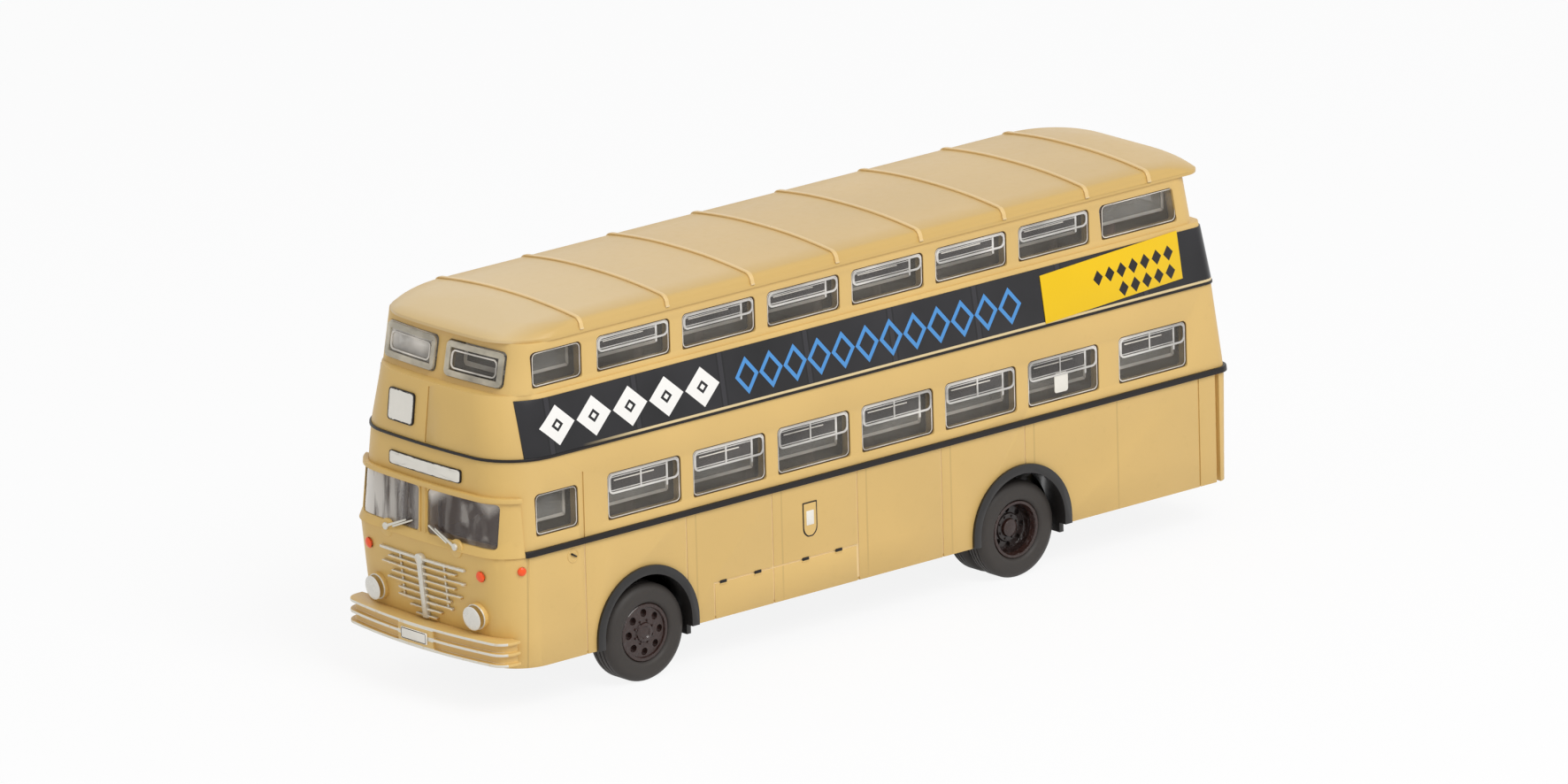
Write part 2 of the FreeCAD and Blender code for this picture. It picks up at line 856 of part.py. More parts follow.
def wheel_hub(station, face, width, side, dished):
    """A hub inside its tyre: a shallow disc with a cap in front, a deep dish with a boss at the rear."""
    out = Vector(0, side, 0)
    inner = side * (face - width)
    deep = width - hub_recess
    hub = disc(at(station), inner, wheel_radius, rim_radius, deep, out)
    well_radius, well_deep = hub_disc_radius, hub_disc_deep
    cap_radius, cap_tall = hub_cap_radius, deep
    if dished:
        well_radius, well_deep = dish_radius, rear_dish_depth
        cap_radius, cap_tall = dish_boss_radius, deep - rear_dish_depth * 0.6
    well = disc(at(station), inner + side * (deep - well_deep), wheel_radius, well_radius,
                well_deep + 1, out)
    cap = disc(at(station), inner, wheel_radius, cap_radius, cap_tall, out)
    bore = disc(at(station), inner - side, wheel_radius, axle_radius, 1 + width / 2, out)
    return hub.cut(well).fuse(cap).cut(bore).removeSplitter()


def make_wheelset(name, station, face, width, twin):
    tyres, hubs = [], []
    for side in (1, -1):
        out = Vector(0, side, 0)
        tyres.append(tyre_ring(station, face, width, side))
        hub = wheel_hub(station, face, width, side, twin)
        if twin:
            second = face - width - tyre_gap
            tyres.append(tyre_ring(station, second, width, side))
            drum = disc(at(station), side * (second - width), wheel_radius, rim_radius,
                        width + tyre_gap, out)
            drum = drum.cut(disc(at(station), side * (second - width - 1), wheel_radius,
                                 axle_radius, width + tyre_gap + 2, out))
            hub = hub.fuse(drum).removeSplitter()
        hubs.append(hub)
    reach = face - width / 2
    axle = disc(at(station), -reach, wheel_radius, axle_radius, 2 * reach, Vector(0, 1, 0))
    save(name + "_tyres", Part.makeCompound(tyres))
    save(name + "_hubs", Part.makeCompound(hubs))
    save(name + "_axle", axle)


def make_chassis():
    """The black base: a plate with wheel wells, axle bearings, a screw post and its pad, a tail step."""
    base = lower_skin(-wall - clearance)
    top = chassis_low + chassis_thick
    plate = base.common(slab(chassis_low, top))
    adds, cuts = [], []
    wheels = (
        (front_axle_station, arch_stations[0], front_tyre_face - front_tyre_width),
        (rear_axle_station, arch_stations[1], rear_tyre_face - 2 * rear_tyre_width - tyre_gap),
    )
    reach = arch_radius + clearance
    size = axle_radius + bearing_clearance + bearing_wall
    for station, arch, tyre_inner in wheels:
        for side in (1, -1):
            cuts.append(box(at(arch) - reach, at(arch) + reach,
                            side * (tyre_inner - wheel_well_gap), side * 20, 0, 20))
            middle = side * bearing_half_track
            adds.append(box(at(station) - size, at(station) + size, middle - bearing_length / 2,
                            middle + bearing_length / 2, wheel_radius - size, top))
        cuts.append(disc(at(station), -20, wheel_radius, channel_radius, 40, Vector(0, 1, 0)))
    plate = plate.cut(cuts)
    bores = [
        disc(at(station), -20, wheel_radius, axle_radius + bearing_clearance, 40, Vector(0, 1, 0))
        for station, _, _ in wheels
    ]
    solid = plate.fuse(adds).cut(bores)
    pad_low = chassis_low - pad_drop
    post = disc(at(screw_station), 0, pad_low, post_radius, floor_height - pad_low, Vector(0, 0, 1))
    hole = disc(at(screw_station), 0, pad_low, screw_hole_radius, screw_hole_depth,
                Vector(0, 0, 1))
    steps = [
        box(at(tail_step_station), at(tail_step_station + tail_step_length),
            side * tail_step_inner, side * tail_step_outer, tail_step_low, top)
        for side in (1, -1)
    ]
    return solid.fuse([post] + steps).cut(hole).removeSplitter()


def make_engine():
    return box(at(engine_station), at(engine_station + engine_length), -engine_width / 2,
               engine_width / 2, chassis_low - engine_deep, chassis_low)


def make_tank():
    return box(at(tank_station), at(tank_station + tank_length), -tank_inner - tank_width,
               -tank_inner, chassis_low - tank_deep, chassis_low)


def make_lower_floor():
    base = lower_skin(-wall - clearance)
    floor = base.common(slab(floor_height, floor_height + floor_thick))
    wells = [
        box(at(first), at(first + width), -step_well_inner, -20, 0, 20)
        for first, width in ((door_front_first, door_front_width), (door_rear_first, door_rear_width))
    ]
    return floor.cut(wells)


def make_upper_floor():
    base = band_skin(-wall - clearance)
    low = upper_floor_height
    return base.common(slab(low, low + floor_thick))


def make_seats(base_height, first, count, tall):
    """Double seats on both sides of the aisle, each a cushion block with its back."""
    blocks = []
    for i in range(count):
        station = first + i * seat_pitch
        for side in (1, -1):
            y0, y1 = side * aisle / 2, side * (aisle / 2 + seat_width)
            cushion = box(at(station), at(station + seat_deep), y0, y1, base_height,
                          base_height + seat_base_tall)
            back = box(at(station + seat_deep - seat_back_thick), at(station + seat_deep),
                       y0, y1, base_height, base_height + tall)
            blocks.append(joined([cushion, back]))
    return Part.makeCompound(blocks)


def make_bumper():
    """A broad front bumper of three thin rails with wide recesses between, closed at the plate."""
    def plan(inset):
        wire = outline(bumper_low, -bumper_proud, 0, bumper_half_width, bumper_corner, -inset,
                       bumper_bow)
        return Part.Face(wire).extrude(Vector(0, 0, bumper_tall))

    front = box(at(-bumper_proud - 1), at(bumper_end_station), -20, 20, 0, 20)
    body = plan(0).common(front).cut(lower_skin())
    recess = (bumper_tall - 3 * bumper_rail) / 2
    core = plan(bumper_groove)
    cuts = []
    for i in range(2):
        z0 = bumper_low + bumper_rail + i * (bumper_rail + recess)
        for side in (1, -1):
            zone = box(at(-bumper_proud - 1), at(3), side * (plate_half_width + plate_margin),
                       side * 20, z0, z0 + recess)
            cuts.append(zone.cut(core))
    return body.cut(cuts)


def make_plate():
    z = bumper_low + (bumper_tall - plate_tall) / 2
    return box(at(-bumper_proud), at(-bumper_proud - plate_thick), -plate_half_width,
               plate_half_width, z, z + plate_tall)


def make_grille():
    """Level slats, long and short in turn, narrower downwards, tied by a spine and two struts."""
    skin = lower_skin(grille_proud).cut(lower_skin())
    step = (grille_high - grille_low) / (grille_count - 1)
    pieces = []
    for i in range(grille_count):
        z = grille_high - i * step
        drop = (i / (grille_count - 1)) ** grille_taper
        half = grille_half_wide + (grille_half_narrow - grille_half_wide) * drop
        if i % 2:
            half *= grille_short
        pieces.append(skin.common(box(at(-3), at(3), -half, half, z - grille_bar / 2,
                                      z + grille_bar / 2)))
    spine_skin = lower_skin(grille_spine_proud).cut(lower_skin())
    pieces.append(spine_skin.common(box(at(-3), at(3), -grille_spine / 2, grille_spine / 2,
                                        grille_low - grille_bar / 2, grille_high)))
    knob = disc(at(3), 0, grille_high, grille_knob_radius, 6, Vector(1, 0, 0))
    pieces.append(knob.common(spine_skin))
    strut_skin = lower_skin(grille_proud / 2).cut(lower_skin())
    for side in (1, -1):
        y = side * grille_strut_offset
        pieces.append(strut_skin.common(box(at(-3), at(3), y - grille_strut / 2,
                                            y + grille_strut / 2,
                                            grille_high - (grille_strut_count - 1) * step,
                                            grille_high)))
    return joined(pieces)


def round_pieces(places, radius, proud):
    """Round lamps that stand out of the front, along X."""
    return [
        disc(at(4), y, z, radius, 8, Vector(1, 0, 0)).common(lower_skin(proud)).cut(lower_skin())
        for y, z in places
    ]


def make_headlamps():
    places = [(headlamp_offset, headlamp_height), (-headlamp_offset, headlamp_height)]
    return Part.makeCompound(round_pieces(places, headlamp_radius, headlamp_proud))


def make_flashers():
    """Orange lamps: two on the front and one round each front corner."""
    places = [(flasher_offset, flasher_height), (-flasher_offset, flasher_height)]
    lamps = round_pieces(places, flasher_radius, flasher_proud)
    ring = lower_skin(flasher_proud).cut(lower_skin())
    for side in (1, -1):
        rod = disc(at(front_corner + front_bow), side * (body_half_width - front_corner),
                   side_flasher_height, flasher_radius, 20,
                   Vector(math.cos(side_flasher_turn), side * math.sin(side_flasher_turn), 0))
        lamps.append(rod.common(ring))
    return Part.makeCompound(lamps)


def make_tail_lamps():
    lamps = []
    for side in (1, -1):
        for z in (tail_lamp_height, tail_lamp_height + 1.3):
            rod = disc(at(body_length - 3), side * tail_lamp_offset, z, tail_lamp_radius, 6,
                       Vector(-1, 0, 0))
            lamps.append(rod.common(lower_skin(0.25)).cut(lower_skin()))
    return Part.makeCompound(lamps)


def make_rear_bumper():
    ring = lower_skin(rear_bumper_proud).cut(lower_skin())
    zone = box(at(body_length - 2), at(body_length + 2), -rear_bumper_half_width,
               rear_bumper_half_width, rear_bumper_low, rear_bumper_low + rear_bumper_tall)
    return ring.common(zone)


def make_sign():
    ring = lower_skin(sign_thick).cut(lower_skin())
    zone = box(at(-3), at(3), -sign_half_width, sign_half_width, sign_low, sign_low + sign_tall)
    return ring.common(zone)


def make_route_box():
    ring = band_skin(sign_thick).cut(band_skin())
    zone = box(at(-3), at(4), -route_outer, -route_inner, route_low, route_low + route_tall)
    return ring.common(zone)


def make_wipers():
    """Two wipers, each an arm from its pivot in towards the pillar."""
    rise = (screen_sill - sill_height) / (deck_height - sill_height)
    sag = front_bow * (wiper_pivot_y / body_half_width) ** 2
    face = at(sill_front_set + (deck_front_set - sill_front_set) * max(rise, 0)) - sag
    face += surround_proud + clearance
    wipers = []
    for side in (1, -1):
        foot = Vector(face, side * wiper_pivot_y, screen_sill - wiper_pivot_radius / 2)
        start = foot + Vector(wiper_proud, 0, 0)
        run = Vector(wiper_lean, -side * wiper_run, wiper_rise)
        arm = Part.makeCylinder(wiper_thick, run.Length, start, run)
        knob = Part.makeCylinder(wiper_pivot_radius, wiper_proud + wiper_thick, foot,
                                 Vector(1, 0, 0))
        wipers.append(arm.fuse(knob).cut(lower_skin(surround_proud)).removeSplitter())
    return Part.makeCompound(wipers)


def make_steering():
    """The driver's steering wheel on its raked column."""
    top = floor_height + floor_thick
    hub = Vector(at(steering_station), steering_offset, top + steering_rise)
    lean = Vector(steering_rake, 0, -1)
    column = Part.makeCylinder(column_radius, 2 * steering_rise, hub, lean)
    ring = Part.makeTorus(steering_radius, steering_rim, hub, lean)
    spoke = Part.makeCylinder(spoke_radius, 2 * steering_radius,
                              hub - Vector(0, steering_radius, 0), Vector(0, 1, 0))
    return joined([column, ring, spoke]).common(slab(top, deck_height))


save("lower_body", make_lower_body())
save("upper_body", make_upper_body())
save("roof", make_roof())
save("roof_ribs", make_roof_ribs())
save("windscreen", make_windscreen())
save("glazing_lower_left", make_lower_glazing(1))
save("glazing_lower_right", make_lower_glazing(-1))
save("glazing_upper_left", make_upper_glazing(1))
save("glazing_upper_right", make_upper_glazing(-1))
save("glazing_upper_front", make_upper_front_glazing())
save("glazing_rear", make_rear_glazing())
save("windscreen_surround", make_surround())
save("belt_moulding", make_belt())
save("deck_line", make_deck_line())
save("side_band", make_band())
save("yellow_panels", make_advert())
save("door_front", make_door(door_front_first, door_front_width, 2))
save("door_rear", make_door(door_rear_first, door_rear_width, 4))
save("door_glazing", make_door_glazing())
save("wheel_guards", make_guards())
make_wheelset("front", front_axle_station, front_tyre_face, front_tyre_width, False)
make_wheelset("rear", rear_axle_station, rear_tyre_face, rear_tyre_width, True)
save("chassis", make_chassis())
save("engine", make_engine())
save("fuel_tank", make_tank())
save("lower_floor", make_lower_floor())
save("upper_floor", make_upper_floor())
save("lower_seats", make_seats(floor_height + floor_thick, seat_first, seat_count, seat_back_tall))
save("upper_seats", make_seats(upper_floor_height + floor_thick, upper_seat_first, seat_count + 1,
                               upper_seat_back_tall))
save("front_bumper", make_bumper())
save("number_plate", make_plate())
save("grille", make_grille())
save("headlamps", make_headlamps())
save("flashers", make_flashers())
save("tail_lamps", make_tail_lamps())
save("rear_bumper", make_rear_bumper())
save("destination_sign", make_sign())
save("route_box", make_route_box())
save("wipers", make_wipers())
save("steering_wheel", make_steering())
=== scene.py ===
import json
import math

import bpy
from mathutils import Matrix, Quaternion, Vector


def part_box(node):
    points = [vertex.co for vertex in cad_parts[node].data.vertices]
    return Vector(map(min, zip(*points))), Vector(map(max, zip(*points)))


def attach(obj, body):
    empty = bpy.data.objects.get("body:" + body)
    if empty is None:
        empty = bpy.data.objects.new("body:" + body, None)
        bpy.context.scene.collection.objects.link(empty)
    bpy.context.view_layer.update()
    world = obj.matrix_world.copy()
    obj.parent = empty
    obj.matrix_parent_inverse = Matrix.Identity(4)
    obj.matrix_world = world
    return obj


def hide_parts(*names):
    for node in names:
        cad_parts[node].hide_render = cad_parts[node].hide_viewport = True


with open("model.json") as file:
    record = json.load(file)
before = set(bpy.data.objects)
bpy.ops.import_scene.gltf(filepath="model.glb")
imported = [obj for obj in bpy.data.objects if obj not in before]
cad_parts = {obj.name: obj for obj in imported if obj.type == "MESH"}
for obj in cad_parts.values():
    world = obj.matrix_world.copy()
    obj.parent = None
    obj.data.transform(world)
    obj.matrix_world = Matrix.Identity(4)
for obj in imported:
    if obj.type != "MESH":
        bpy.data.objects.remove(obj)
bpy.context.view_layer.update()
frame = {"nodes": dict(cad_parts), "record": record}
nodes = frame["nodes"]
mm = 0.001
bus = {  # in mm, with a start for what is laid on and one for what is aimed at the body
    "nose": 30.7, "bodyHalf": 7.8, "deckHalf": 7.0, "glassInset": 0.12, "frontAxle": 18.6,
    "rearAxle": -13.0, "axleHeight": 3.2, "away": 40, "aimFrom": 100,
}
sides = ((1, "left"), (-1, "right"))
print("frame loaded")


# A socket that takes part in sums: each operator adds its Math node
class Value:
    def __init__(self, paint, socket):
        self.paint = paint
        self.socket = socket

    def math(self, operation, first, second):
        return self.paint.node("ShaderNodeMath", {"operation": operation}, {0: first, 1: second})

    def __add__(self, other):
        return self.math("ADD", self, other)

    def __radd__(self, other):
        return self.math("ADD", other, self)

    def __sub__(self, other):
        return self.math("SUBTRACT", self, other)

    def __rsub__(self, other):
        return self.math("SUBTRACT", other, self)

    def __mul__(self, other):
        return self.math("MULTIPLY", self, other)

    def __rmul__(self, other):
        return self.math("MULTIPLY", other, self)

    def __truediv__(self, other):
        return self.math("DIVIDE", self, other)

    def __rtruediv__(self, other):
        return self.math("DIVIDE", other, self)

    def __gt__(self, other):
        return self.math("GREATER_THAN", self, other)

    def __lt__(self, other):
        return self.math("LESS_THAN", self, other)

    def __abs__(self):
        return self.math("ABSOLUTE", self, 0.0)

    def __mod__(self, period):
        return self.math("FLOORED_MODULO", self, period)

    def orWith(self, other):
        return self.math("MAXIMUM", self, other)


# One material and the nodes that shape it
class Paint:
    def __init__(self, name, colour, rough, **fixed):
        self.material = bpy.data.materials.new(name)
        self.material.use_nodes = True
        self.tree = self.material.node_tree
        self.shader = self.tree.nodes["Principled BSDF"]
        self.shader.inputs["Base Color"].default_value = (*colour, 1)
        self.shader.inputs["Roughness"].default_value = rough
        for socket, value in fixed.items():
            self.shader.inputs[socket.replace("_", " ")].default_value = value
        self.place = self.node("ShaderNodeTexCoord", {}, {}, "Object")

    def node(self, kind, settings, inputs, output=0):
        made = self.tree.nodes.new(kind)
        for name, value in settings.items():
            if name == "stops":
                for stop, (at, colour) in zip(made.color_ramp.elements, value):
                    stop.position = at
                    stop.color = colour
            else:
                setattr(made, name, value)
        for name, value in inputs.items():
            if isinstance(value, Value):
                self.tree.links.new(value.socket, made.inputs[name])
            else:
                made.inputs[name].default_value = value
        return Value(self, made.outputs[output])

    def feed(self, socket, value):
        self.tree.links.new(value.socket, self.shader.inputs[socket])

    def tone(self):
        # the colour fed so far
        return Value(self, self.shader.inputs["Base Color"].links[0].from_socket)

    def axes(self):
        # station, y and z of a point in mm
        parts = self.node("ShaderNodeSeparateXYZ", {}, {0: self.place})
        split = parts.socket.node
        x, y, z = [Value(self, split.outputs[name]) for name in ("X", "Y", "Z")]
        return bus["nose"] - x * 1000.0, y * 1000.0, z * 1000.0

    def noise(self, size, detail=2.0, stretch=(1.0, 1.0, 1.0)):
        # cloudy values from 0 to 1, with spots about size mm wide
        spot = self.node("ShaderNodeVectorMath", {"operation": "MULTIPLY"},
                         {0: self.place, 1: stretch})
        return self.node("ShaderNodeTexNoise", {},
                         {"Vector": spot, "Scale": 1000.0 / size, "Detail": detail})

    def blend(self, first, second, factor):
        # colours mixed by a value
        sockets = {0: factor}
        for index, colour in ((6, first), (7, second)):
            sockets[index] = colour if isinstance(colour, Value) else (*colour, 1.0)
        return self.node("ShaderNodeMix", {"data_type": "RGBA"}, sockets, 2)

    def step(self, value, low, high):
        # 0 below low, 1 above high, straight between
        return self.node("ShaderNodeMapRange", {"clamp": True},
                         {0: value, 1: low, 2: high, 3: 0.0, 4: 1.0})

    def bump(self, height, strength, deep):
        normal = self.node("ShaderNodeBump", {},
                           {"Height": height, "Strength": strength, "Distance": deep * mm})
        self.feed("Normal", normal)


def linear(red, green, blue):
    # a screen colour of 0 to 255 as the light values that a shader takes
    def channel(level):
        level /= 255
        return level / 12.92 if level <= 0.04045 else ((level + 0.055) / 1.055) ** 2.4
    return channel(red), channel(green), channel(blue)


def shade(colour, share):
    return tuple(part * share for part in colour)


# Materials
tints = {
    "body": linear(217, 182, 113),
    # painted shade on the front face
    "bodyFrontShade": linear(213, 176, 100),
    "roof": linear(212, 181, 124),
    # painted sheen towards the roof's front, then painted shade where it turns down
    "roofFrontSheen": linear(219, 195, 150),
    "roofSideShade": linear(203, 167, 94),
    "dark": linear(30, 26, 25),
    "band": linear(28, 27, 30),
    "white": linear(240, 238, 234),
    "blue": linear(74, 142, 206),
    "yellow": linear(236, 193, 10),
    "black": linear(30, 28, 27),
    "tyre": linear(62, 58, 55),
    "hub": linear(47, 26, 21),
    # painted shade in the rear hub's well
    "hubWellShade": linear(22, 13, 11),
    # painted shade in the gap round each pane
    "gap": linear(70, 52, 34),
    # painted reflection in the panes
    "pane": linear(164, 162, 156),
    # painted shade in each vent's slot
    "slot": linear(66, 61, 58),
    "vent": linear(198, 195, 190),
    # painted light for the body's grooves, against the shade that falls in them
    "groove": linear(236, 210, 160),
    # the body's cream ledge under the band, paler with a painted highlight
    "lip": linear(222, 200, 152),
    # painted reflection on the windscreens and upper front panes
    "glare": linear(238, 232, 222),
    # clear plastic whose beige is partly a painted reflection of the body
    "frontFrame": linear(196, 188, 168),
    "steel": linear(160, 160, 158),
    "inside": linear(118, 116, 110),
    "seat": linear(112, 96, 86),
    "seatRear": linear(130, 84, 74),
    "sign": linear(236, 232, 222),
    "silver": linear(218, 214, 202),
    "clear": linear(120, 115, 106),
    "screen": linear(96, 82, 76),
    # painted highlight on the rims of the panes and the edges of the clear blocks
    "edge": linear(212, 206, 196),
    "lamp": linear(228, 225, 216),
    "orange": linear(250, 82, 4),
    "red": linear(176, 24, 20),
}


# Sprayed enamel: cloudy tone, fine grain, a little dust low down
def enamel(name, colour, rough, dust=0.0):
    paint = Paint(name, colour, rough, Specular_IOR_Level=0.45)
    cloud = paint.step(paint.noise(9.0, 3.0), 0.35, 0.65)
    fleck = paint.noise(0.5, 2.0)
    tone = paint.blend(shade(colour, 0.965), shade(colour, 1.03), cloud)
    tone = paint.blend(tone, shade(colour, 0.9), paint.step(fleck, 0.62, 0.8) * 0.3)
    if dust:
        station, y, z = paint.axes()
        low = (1.0 - paint.step(z, 3.0, 5.2)) * cloud * dust
        tone = paint.blend(tone, shade(colour, 0.72), low)
    paint.feed("Base Color", tone)
    paint.feed("Roughness", fleck * 0.12 + (rough - 0.06))
    paint.bump(paint.noise(0.16, 2.0), 0.22, 0.012)
    return paint


# Body enamel: painted shade on the nose, painted light in the grooves against the shade that falls
# in them, and faint edges of the raised strips drawn as painted shade
def bodyEnamel():
    strips = {"first": 15.3, "pitch": 7.15, "last": 52.0, "wide": 0.85, "line": 0.07, "top": 10.3}
    door = {"station": 2.3, "line": 0.06}
    nose = {"from": 0.6, "to": 2.8}
    groove = {"shallow": 0.01, "deep": 0.14, "low": 3.2, "first": 4.5, "last": 58.0}
    paint = enamel("body_enamel", tints["body"], 0.42, 0.5)
    station, y, z = paint.axes()
    below = z < strips["top"]
    along = (station - strips["first"]) % strips["pitch"]
    inRun = (station > strips["first"] - 0.5) * (station < strips["last"])
    onFace = abs(y) > bus["bodyHalf"] - 0.02
    # a line of painted shade along the second edge of each raised strip
    edge = (abs(along - strips["wide"]) < strips["line"]) * inRun * onFace * below
    doorLine = (abs(station - door["station"]) < door["line"]) * (y > bus["deckHalf"]) * below
    # painted shade on the nose, where the front face is turned from the light
    front = (1.0 - paint.step(station, nose["from"], nose["to"])) * 0.8
    tone = paint.blend(paint.tone(), tints["bodyFrontShade"], front)
    tone = paint.blend(tone, shade(tints["body"], 0.86), edge)
    tone = paint.blend(tone, shade(tints["body"], 0.62), doorLine * 0.5)
    # painted light in the grooves, which cancels the shade that falls in them
    grooveLightMask = (abs(y) < bus["bodyHalf"] - groove["shallow"]) * below * (z > groove["low"])
    grooveLightMask = grooveLightMask * (abs(y) > bus["bodyHalf"] - groove["deep"])
    grooveLightMask = grooveLightMask * (station > groove["first"]) * (station < groove["last"])
    paint.feed("Base Color", paint.blend(tone, tints["groove"], grooveLightMask))
    return paint


# Printed band: white and blue lozenges, painted highlight and shade along the moulded strips under
# it, and a pale lower lip that is partly painted highlight
def bandPrint():
    band = {
        "centre": 18.35, "sideFrom": 4.0,
        "whiteFirst": 3.7, "whitePitch": 3.0, "whiteLast": 18.7, "whiteWide": 1.42,
        "whiteTall": 1.28, "slotIn": 0.16, "slotOut": 0.34,
        "blueFirst": 19.9, "bluePitch": 2.02, "blueLast": 44.14, "blueWide": 0.98,
        "blueTall": 1.2, "blueHole": 0.66,
        "stripFirst": 8.15, "stripPitch": 7.15, "stripWide": 0.17,
        "lip": 16.77, "lipFrom": 7.0, "lipTo": 12.0,
    }
    paint = Paint("band_print", tints["band"], 0.3, Specular_IOR_Level=0.3, Coat_Weight=0.2,
                  Coat_Roughness=0.1)
    station, y, z = paint.axes()
    up = abs(z - band["centre"])
    onSide = abs(y) > band["sideFrom"]

    def lozenges(colour):
        # how far a point is from a lozenge's middle, 1 at its outline, and where the row runs
        first, pitch = band[colour + "First"], band[colour + "Pitch"]
        across = abs((station - first) % pitch - pitch / 2)
        inside = (station > first) * (station < band[colour + "Last"])
        return across / band[colour + "Wide"] + up / band[colour + "Tall"], inside

    far, inWhite = lozenges("white")
    white = (far < 1.0) * inWhite * (far > band["slotOut"]).orWith(far < band["slotIn"])
    far, inBlue = lozenges("blue")
    blue = (far < 1.0) * (far > band["blueHole"]) * inBlue
    cloud = paint.noise(6.0, 3.0)
    tone = paint.blend(shade(tints["band"], 0.5), shade(tints["band"], 1.6),
                       paint.step(cloud, 0.3, 0.7))
    # along each moulded strip: a dark band of painted shade with a thin painted highlight in its
    # middle
    strip = abs((station - band["stripFirst"]) % band["stripPitch"] - band["stripPitch"] / 2)
    tone = paint.blend(tone, shade(tints["band"], 0.4), (strip < band["stripWide"] * 1.8) * 0.7)
    tone = paint.blend(tone, shade(tints["band"], 2.6), (strip < band["stripWide"]) * 0.8)
    # the lower lip: the body's cream ledge, painted paler as a highlight, fading in from station 7
    # to 12
    lip = (z < band["lip"]) * paint.step(station, band["lipFrom"], band["lipTo"])
    for colour, mask in (("lip", lip), ("white", white), ("blue", blue)):
        tone = paint.blend(tone, tints[colour], mask * onSide)
    paint.feed("Base Color", tone)
    paint.feed("Roughness", cloud * 0.16 + 0.22)
    paint.bump(paint.noise(0.2, 2.0), 0.15, 0.01)
    return paint


# Yellow print with two rising rows of small dark lozenges
def panelPrint():
    rows = {"slope": 0.07, "from": 52.0, "pitch": 1.02, "wide": 0.42, "tall": 0.5,
            "high": (18.75, 50.2, 57.35), "low": (17.55, 52.24, 57.35)}  # height, first, last
    paint = Paint("panel_print", tints["yellow"], 0.35, Specular_IOR_Level=0.3, Coat_Weight=0.1,
                  Coat_Roughness=0.15)
    station, y, z = paint.axes()
    mask = None
    for height, first, last in (rows["high"], rows["low"]):
        across = abs((station - first) % rows["pitch"] - rows["pitch"] / 2)
        up = abs(z - ((station - rows["from"]) * rows["slope"] + height))
        row = (across / rows["wide"] + up / rows["tall"]) < 1.0
        row = row * (station > first) * (station < last)
        mask = row if mask is None else mask.orWith(row)
    cloud = paint.noise(5.0, 3.0)
    tone = paint.blend(shade(tints["yellow"], 0.94), shade(tints["yellow"], 1.02), cloud)
    paint.feed("Base Color", paint.blend(tone, tints["dark"], mask))
    paint.feed("Roughness", cloud * 0.12 + 0.3)
    paint.bump(paint.noise(0.2, 2.0), 0.12, 0.01)
    return paint


# Moulded plastic or rubber: fine grain and lighter scuffs
def moulded(name, colour, rough, grain=0.12, scuff=0.25, **fixed):
    fixed.setdefault("Specular_IOR_Level", 0.3)
    paint = Paint(name, colour, rough, **fixed)
    cloud = paint.noise(2.2, 4.0)
    fine = paint.noise(grain, 2.0)
    tone = paint.blend(shade(colour, 0.86), shade(colour, 1.1), cloud)
    tone = paint.blend(tone, shade(colour, 1.45), paint.step(fine, 0.6, 0.85) * scuff)
    paint.feed("Base Color", tone)
    paint.feed("Roughness", cloud * 0.16 + (rough - 0.08))
    paint.bump(fine, 0.25, 0.015)
    return paint


# Silver brushed on by hand: uneven, the base colour showing through in places
def silverPaint(name, under, cover=1.0):
    paint = Paint(name, tints["silver"], 0.36, Metallic=0.35)
    patch = paint.noise(0.55, 3.0)
    fine = paint.noise(0.09, 2.0)
    tone = paint.blend(shade(tints["silver"], 0.78), shade(tints["silver"], 1.15), fine)
    bare = paint.step(patch, 0.6, 0.72) * 0.55 * cover
    paint.feed("Base Color", paint.blend(tone, under, bare))
    paint.feed("Roughness", patch * 0.25 + 0.25)
    paint.bump(fine, 0.3, 0.015)
    return paint


# Bumper: beige, with silver on the front edges of the three rails
def bumperPaint():
    rails = {"low": 3.45, "pitch": 0.7, "tall": 0.2, "spare": 0.03, "upright": 0.75,
             "depth": 0.55}
    paint = enamel("bumper_enamel", tints["body"], 0.42)
    station, y, z = paint.axes()
    normal = paint.node("ShaderNodeNewGeometry", {}, {}, "Normal")
    parts = paint.node("ShaderNodeSeparateXYZ", {}, {0: normal}).socket.node
    upward = Value(paint, parts.outputs["Z"])
    along = (z - (rails["low"] - rails["spare"])) % rails["pitch"]
    rail = (along < rails["tall"] + 2 * rails["spare"]) * (abs(upward) < rails["upright"])
    worn = 1.0 - paint.step(paint.noise(0.5, 3.0), 0.6, 0.75) * 0.7
    silver = rail * worn * (station < rails["depth"])
    paint.feed("Base Color", paint.blend(paint.tone(), tints["silver"], silver))
    paint.feed("Metallic", silver * 0.5)
    return paint


# Clear styrene with flow marks, darker and paler in turn; the paler streaks are partly painted
# reflection
def clearPlastic(name, colour, alpha, rough):
    paint = Paint(name, colour, rough, Alpha=alpha, Coat_Weight=0.6, Coat_Roughness=0.04)
    flowAndReflection = paint.noise(2.4, 3.0, (0.5, 1.0, 1.6))
    paint.feed("Base Color", paint.blend(shade(colour, 0.7), shade(colour, 1.5),
                                         paint.step(flowAndReflection, 0.35, 0.7)))
    paint.feed("Roughness", flowAndReflection * 0.1 + (rough - 0.03))
    paint.bump(paint.noise(1.1, 2.0), 0.12, 0.02)
    return paint


# Lamp glass and lamp paint: smooth, faintly cloudy
def lens(name, colour, rough, coat=0.7):
    paint = Paint(name, colour, rough, Coat_Weight=coat, Coat_Roughness=0.06)
    cloud = paint.noise(0.5, 3.0)
    paint.feed("Base Color", paint.blend(shade(colour, 0.88), shade(colour, 1.04), cloud))
    paint.feed("Roughness", cloud * 0.14 + (rough - 0.05))
    paint.bump(paint.noise(0.15, 2.0), 0.12, 0.01)
    return paint


# Seats: brown-grey, redder at the very back
def seatPlastic():
    rear = 50.0
    paint = moulded("seat_plastic", tints["seat"], 0.55)
    station, y, z = paint.axes()
    paint.feed("Base Color",
               paint.blend(paint.tone(), tints["seatRear"], (station > rear) * 0.8))
    return paint
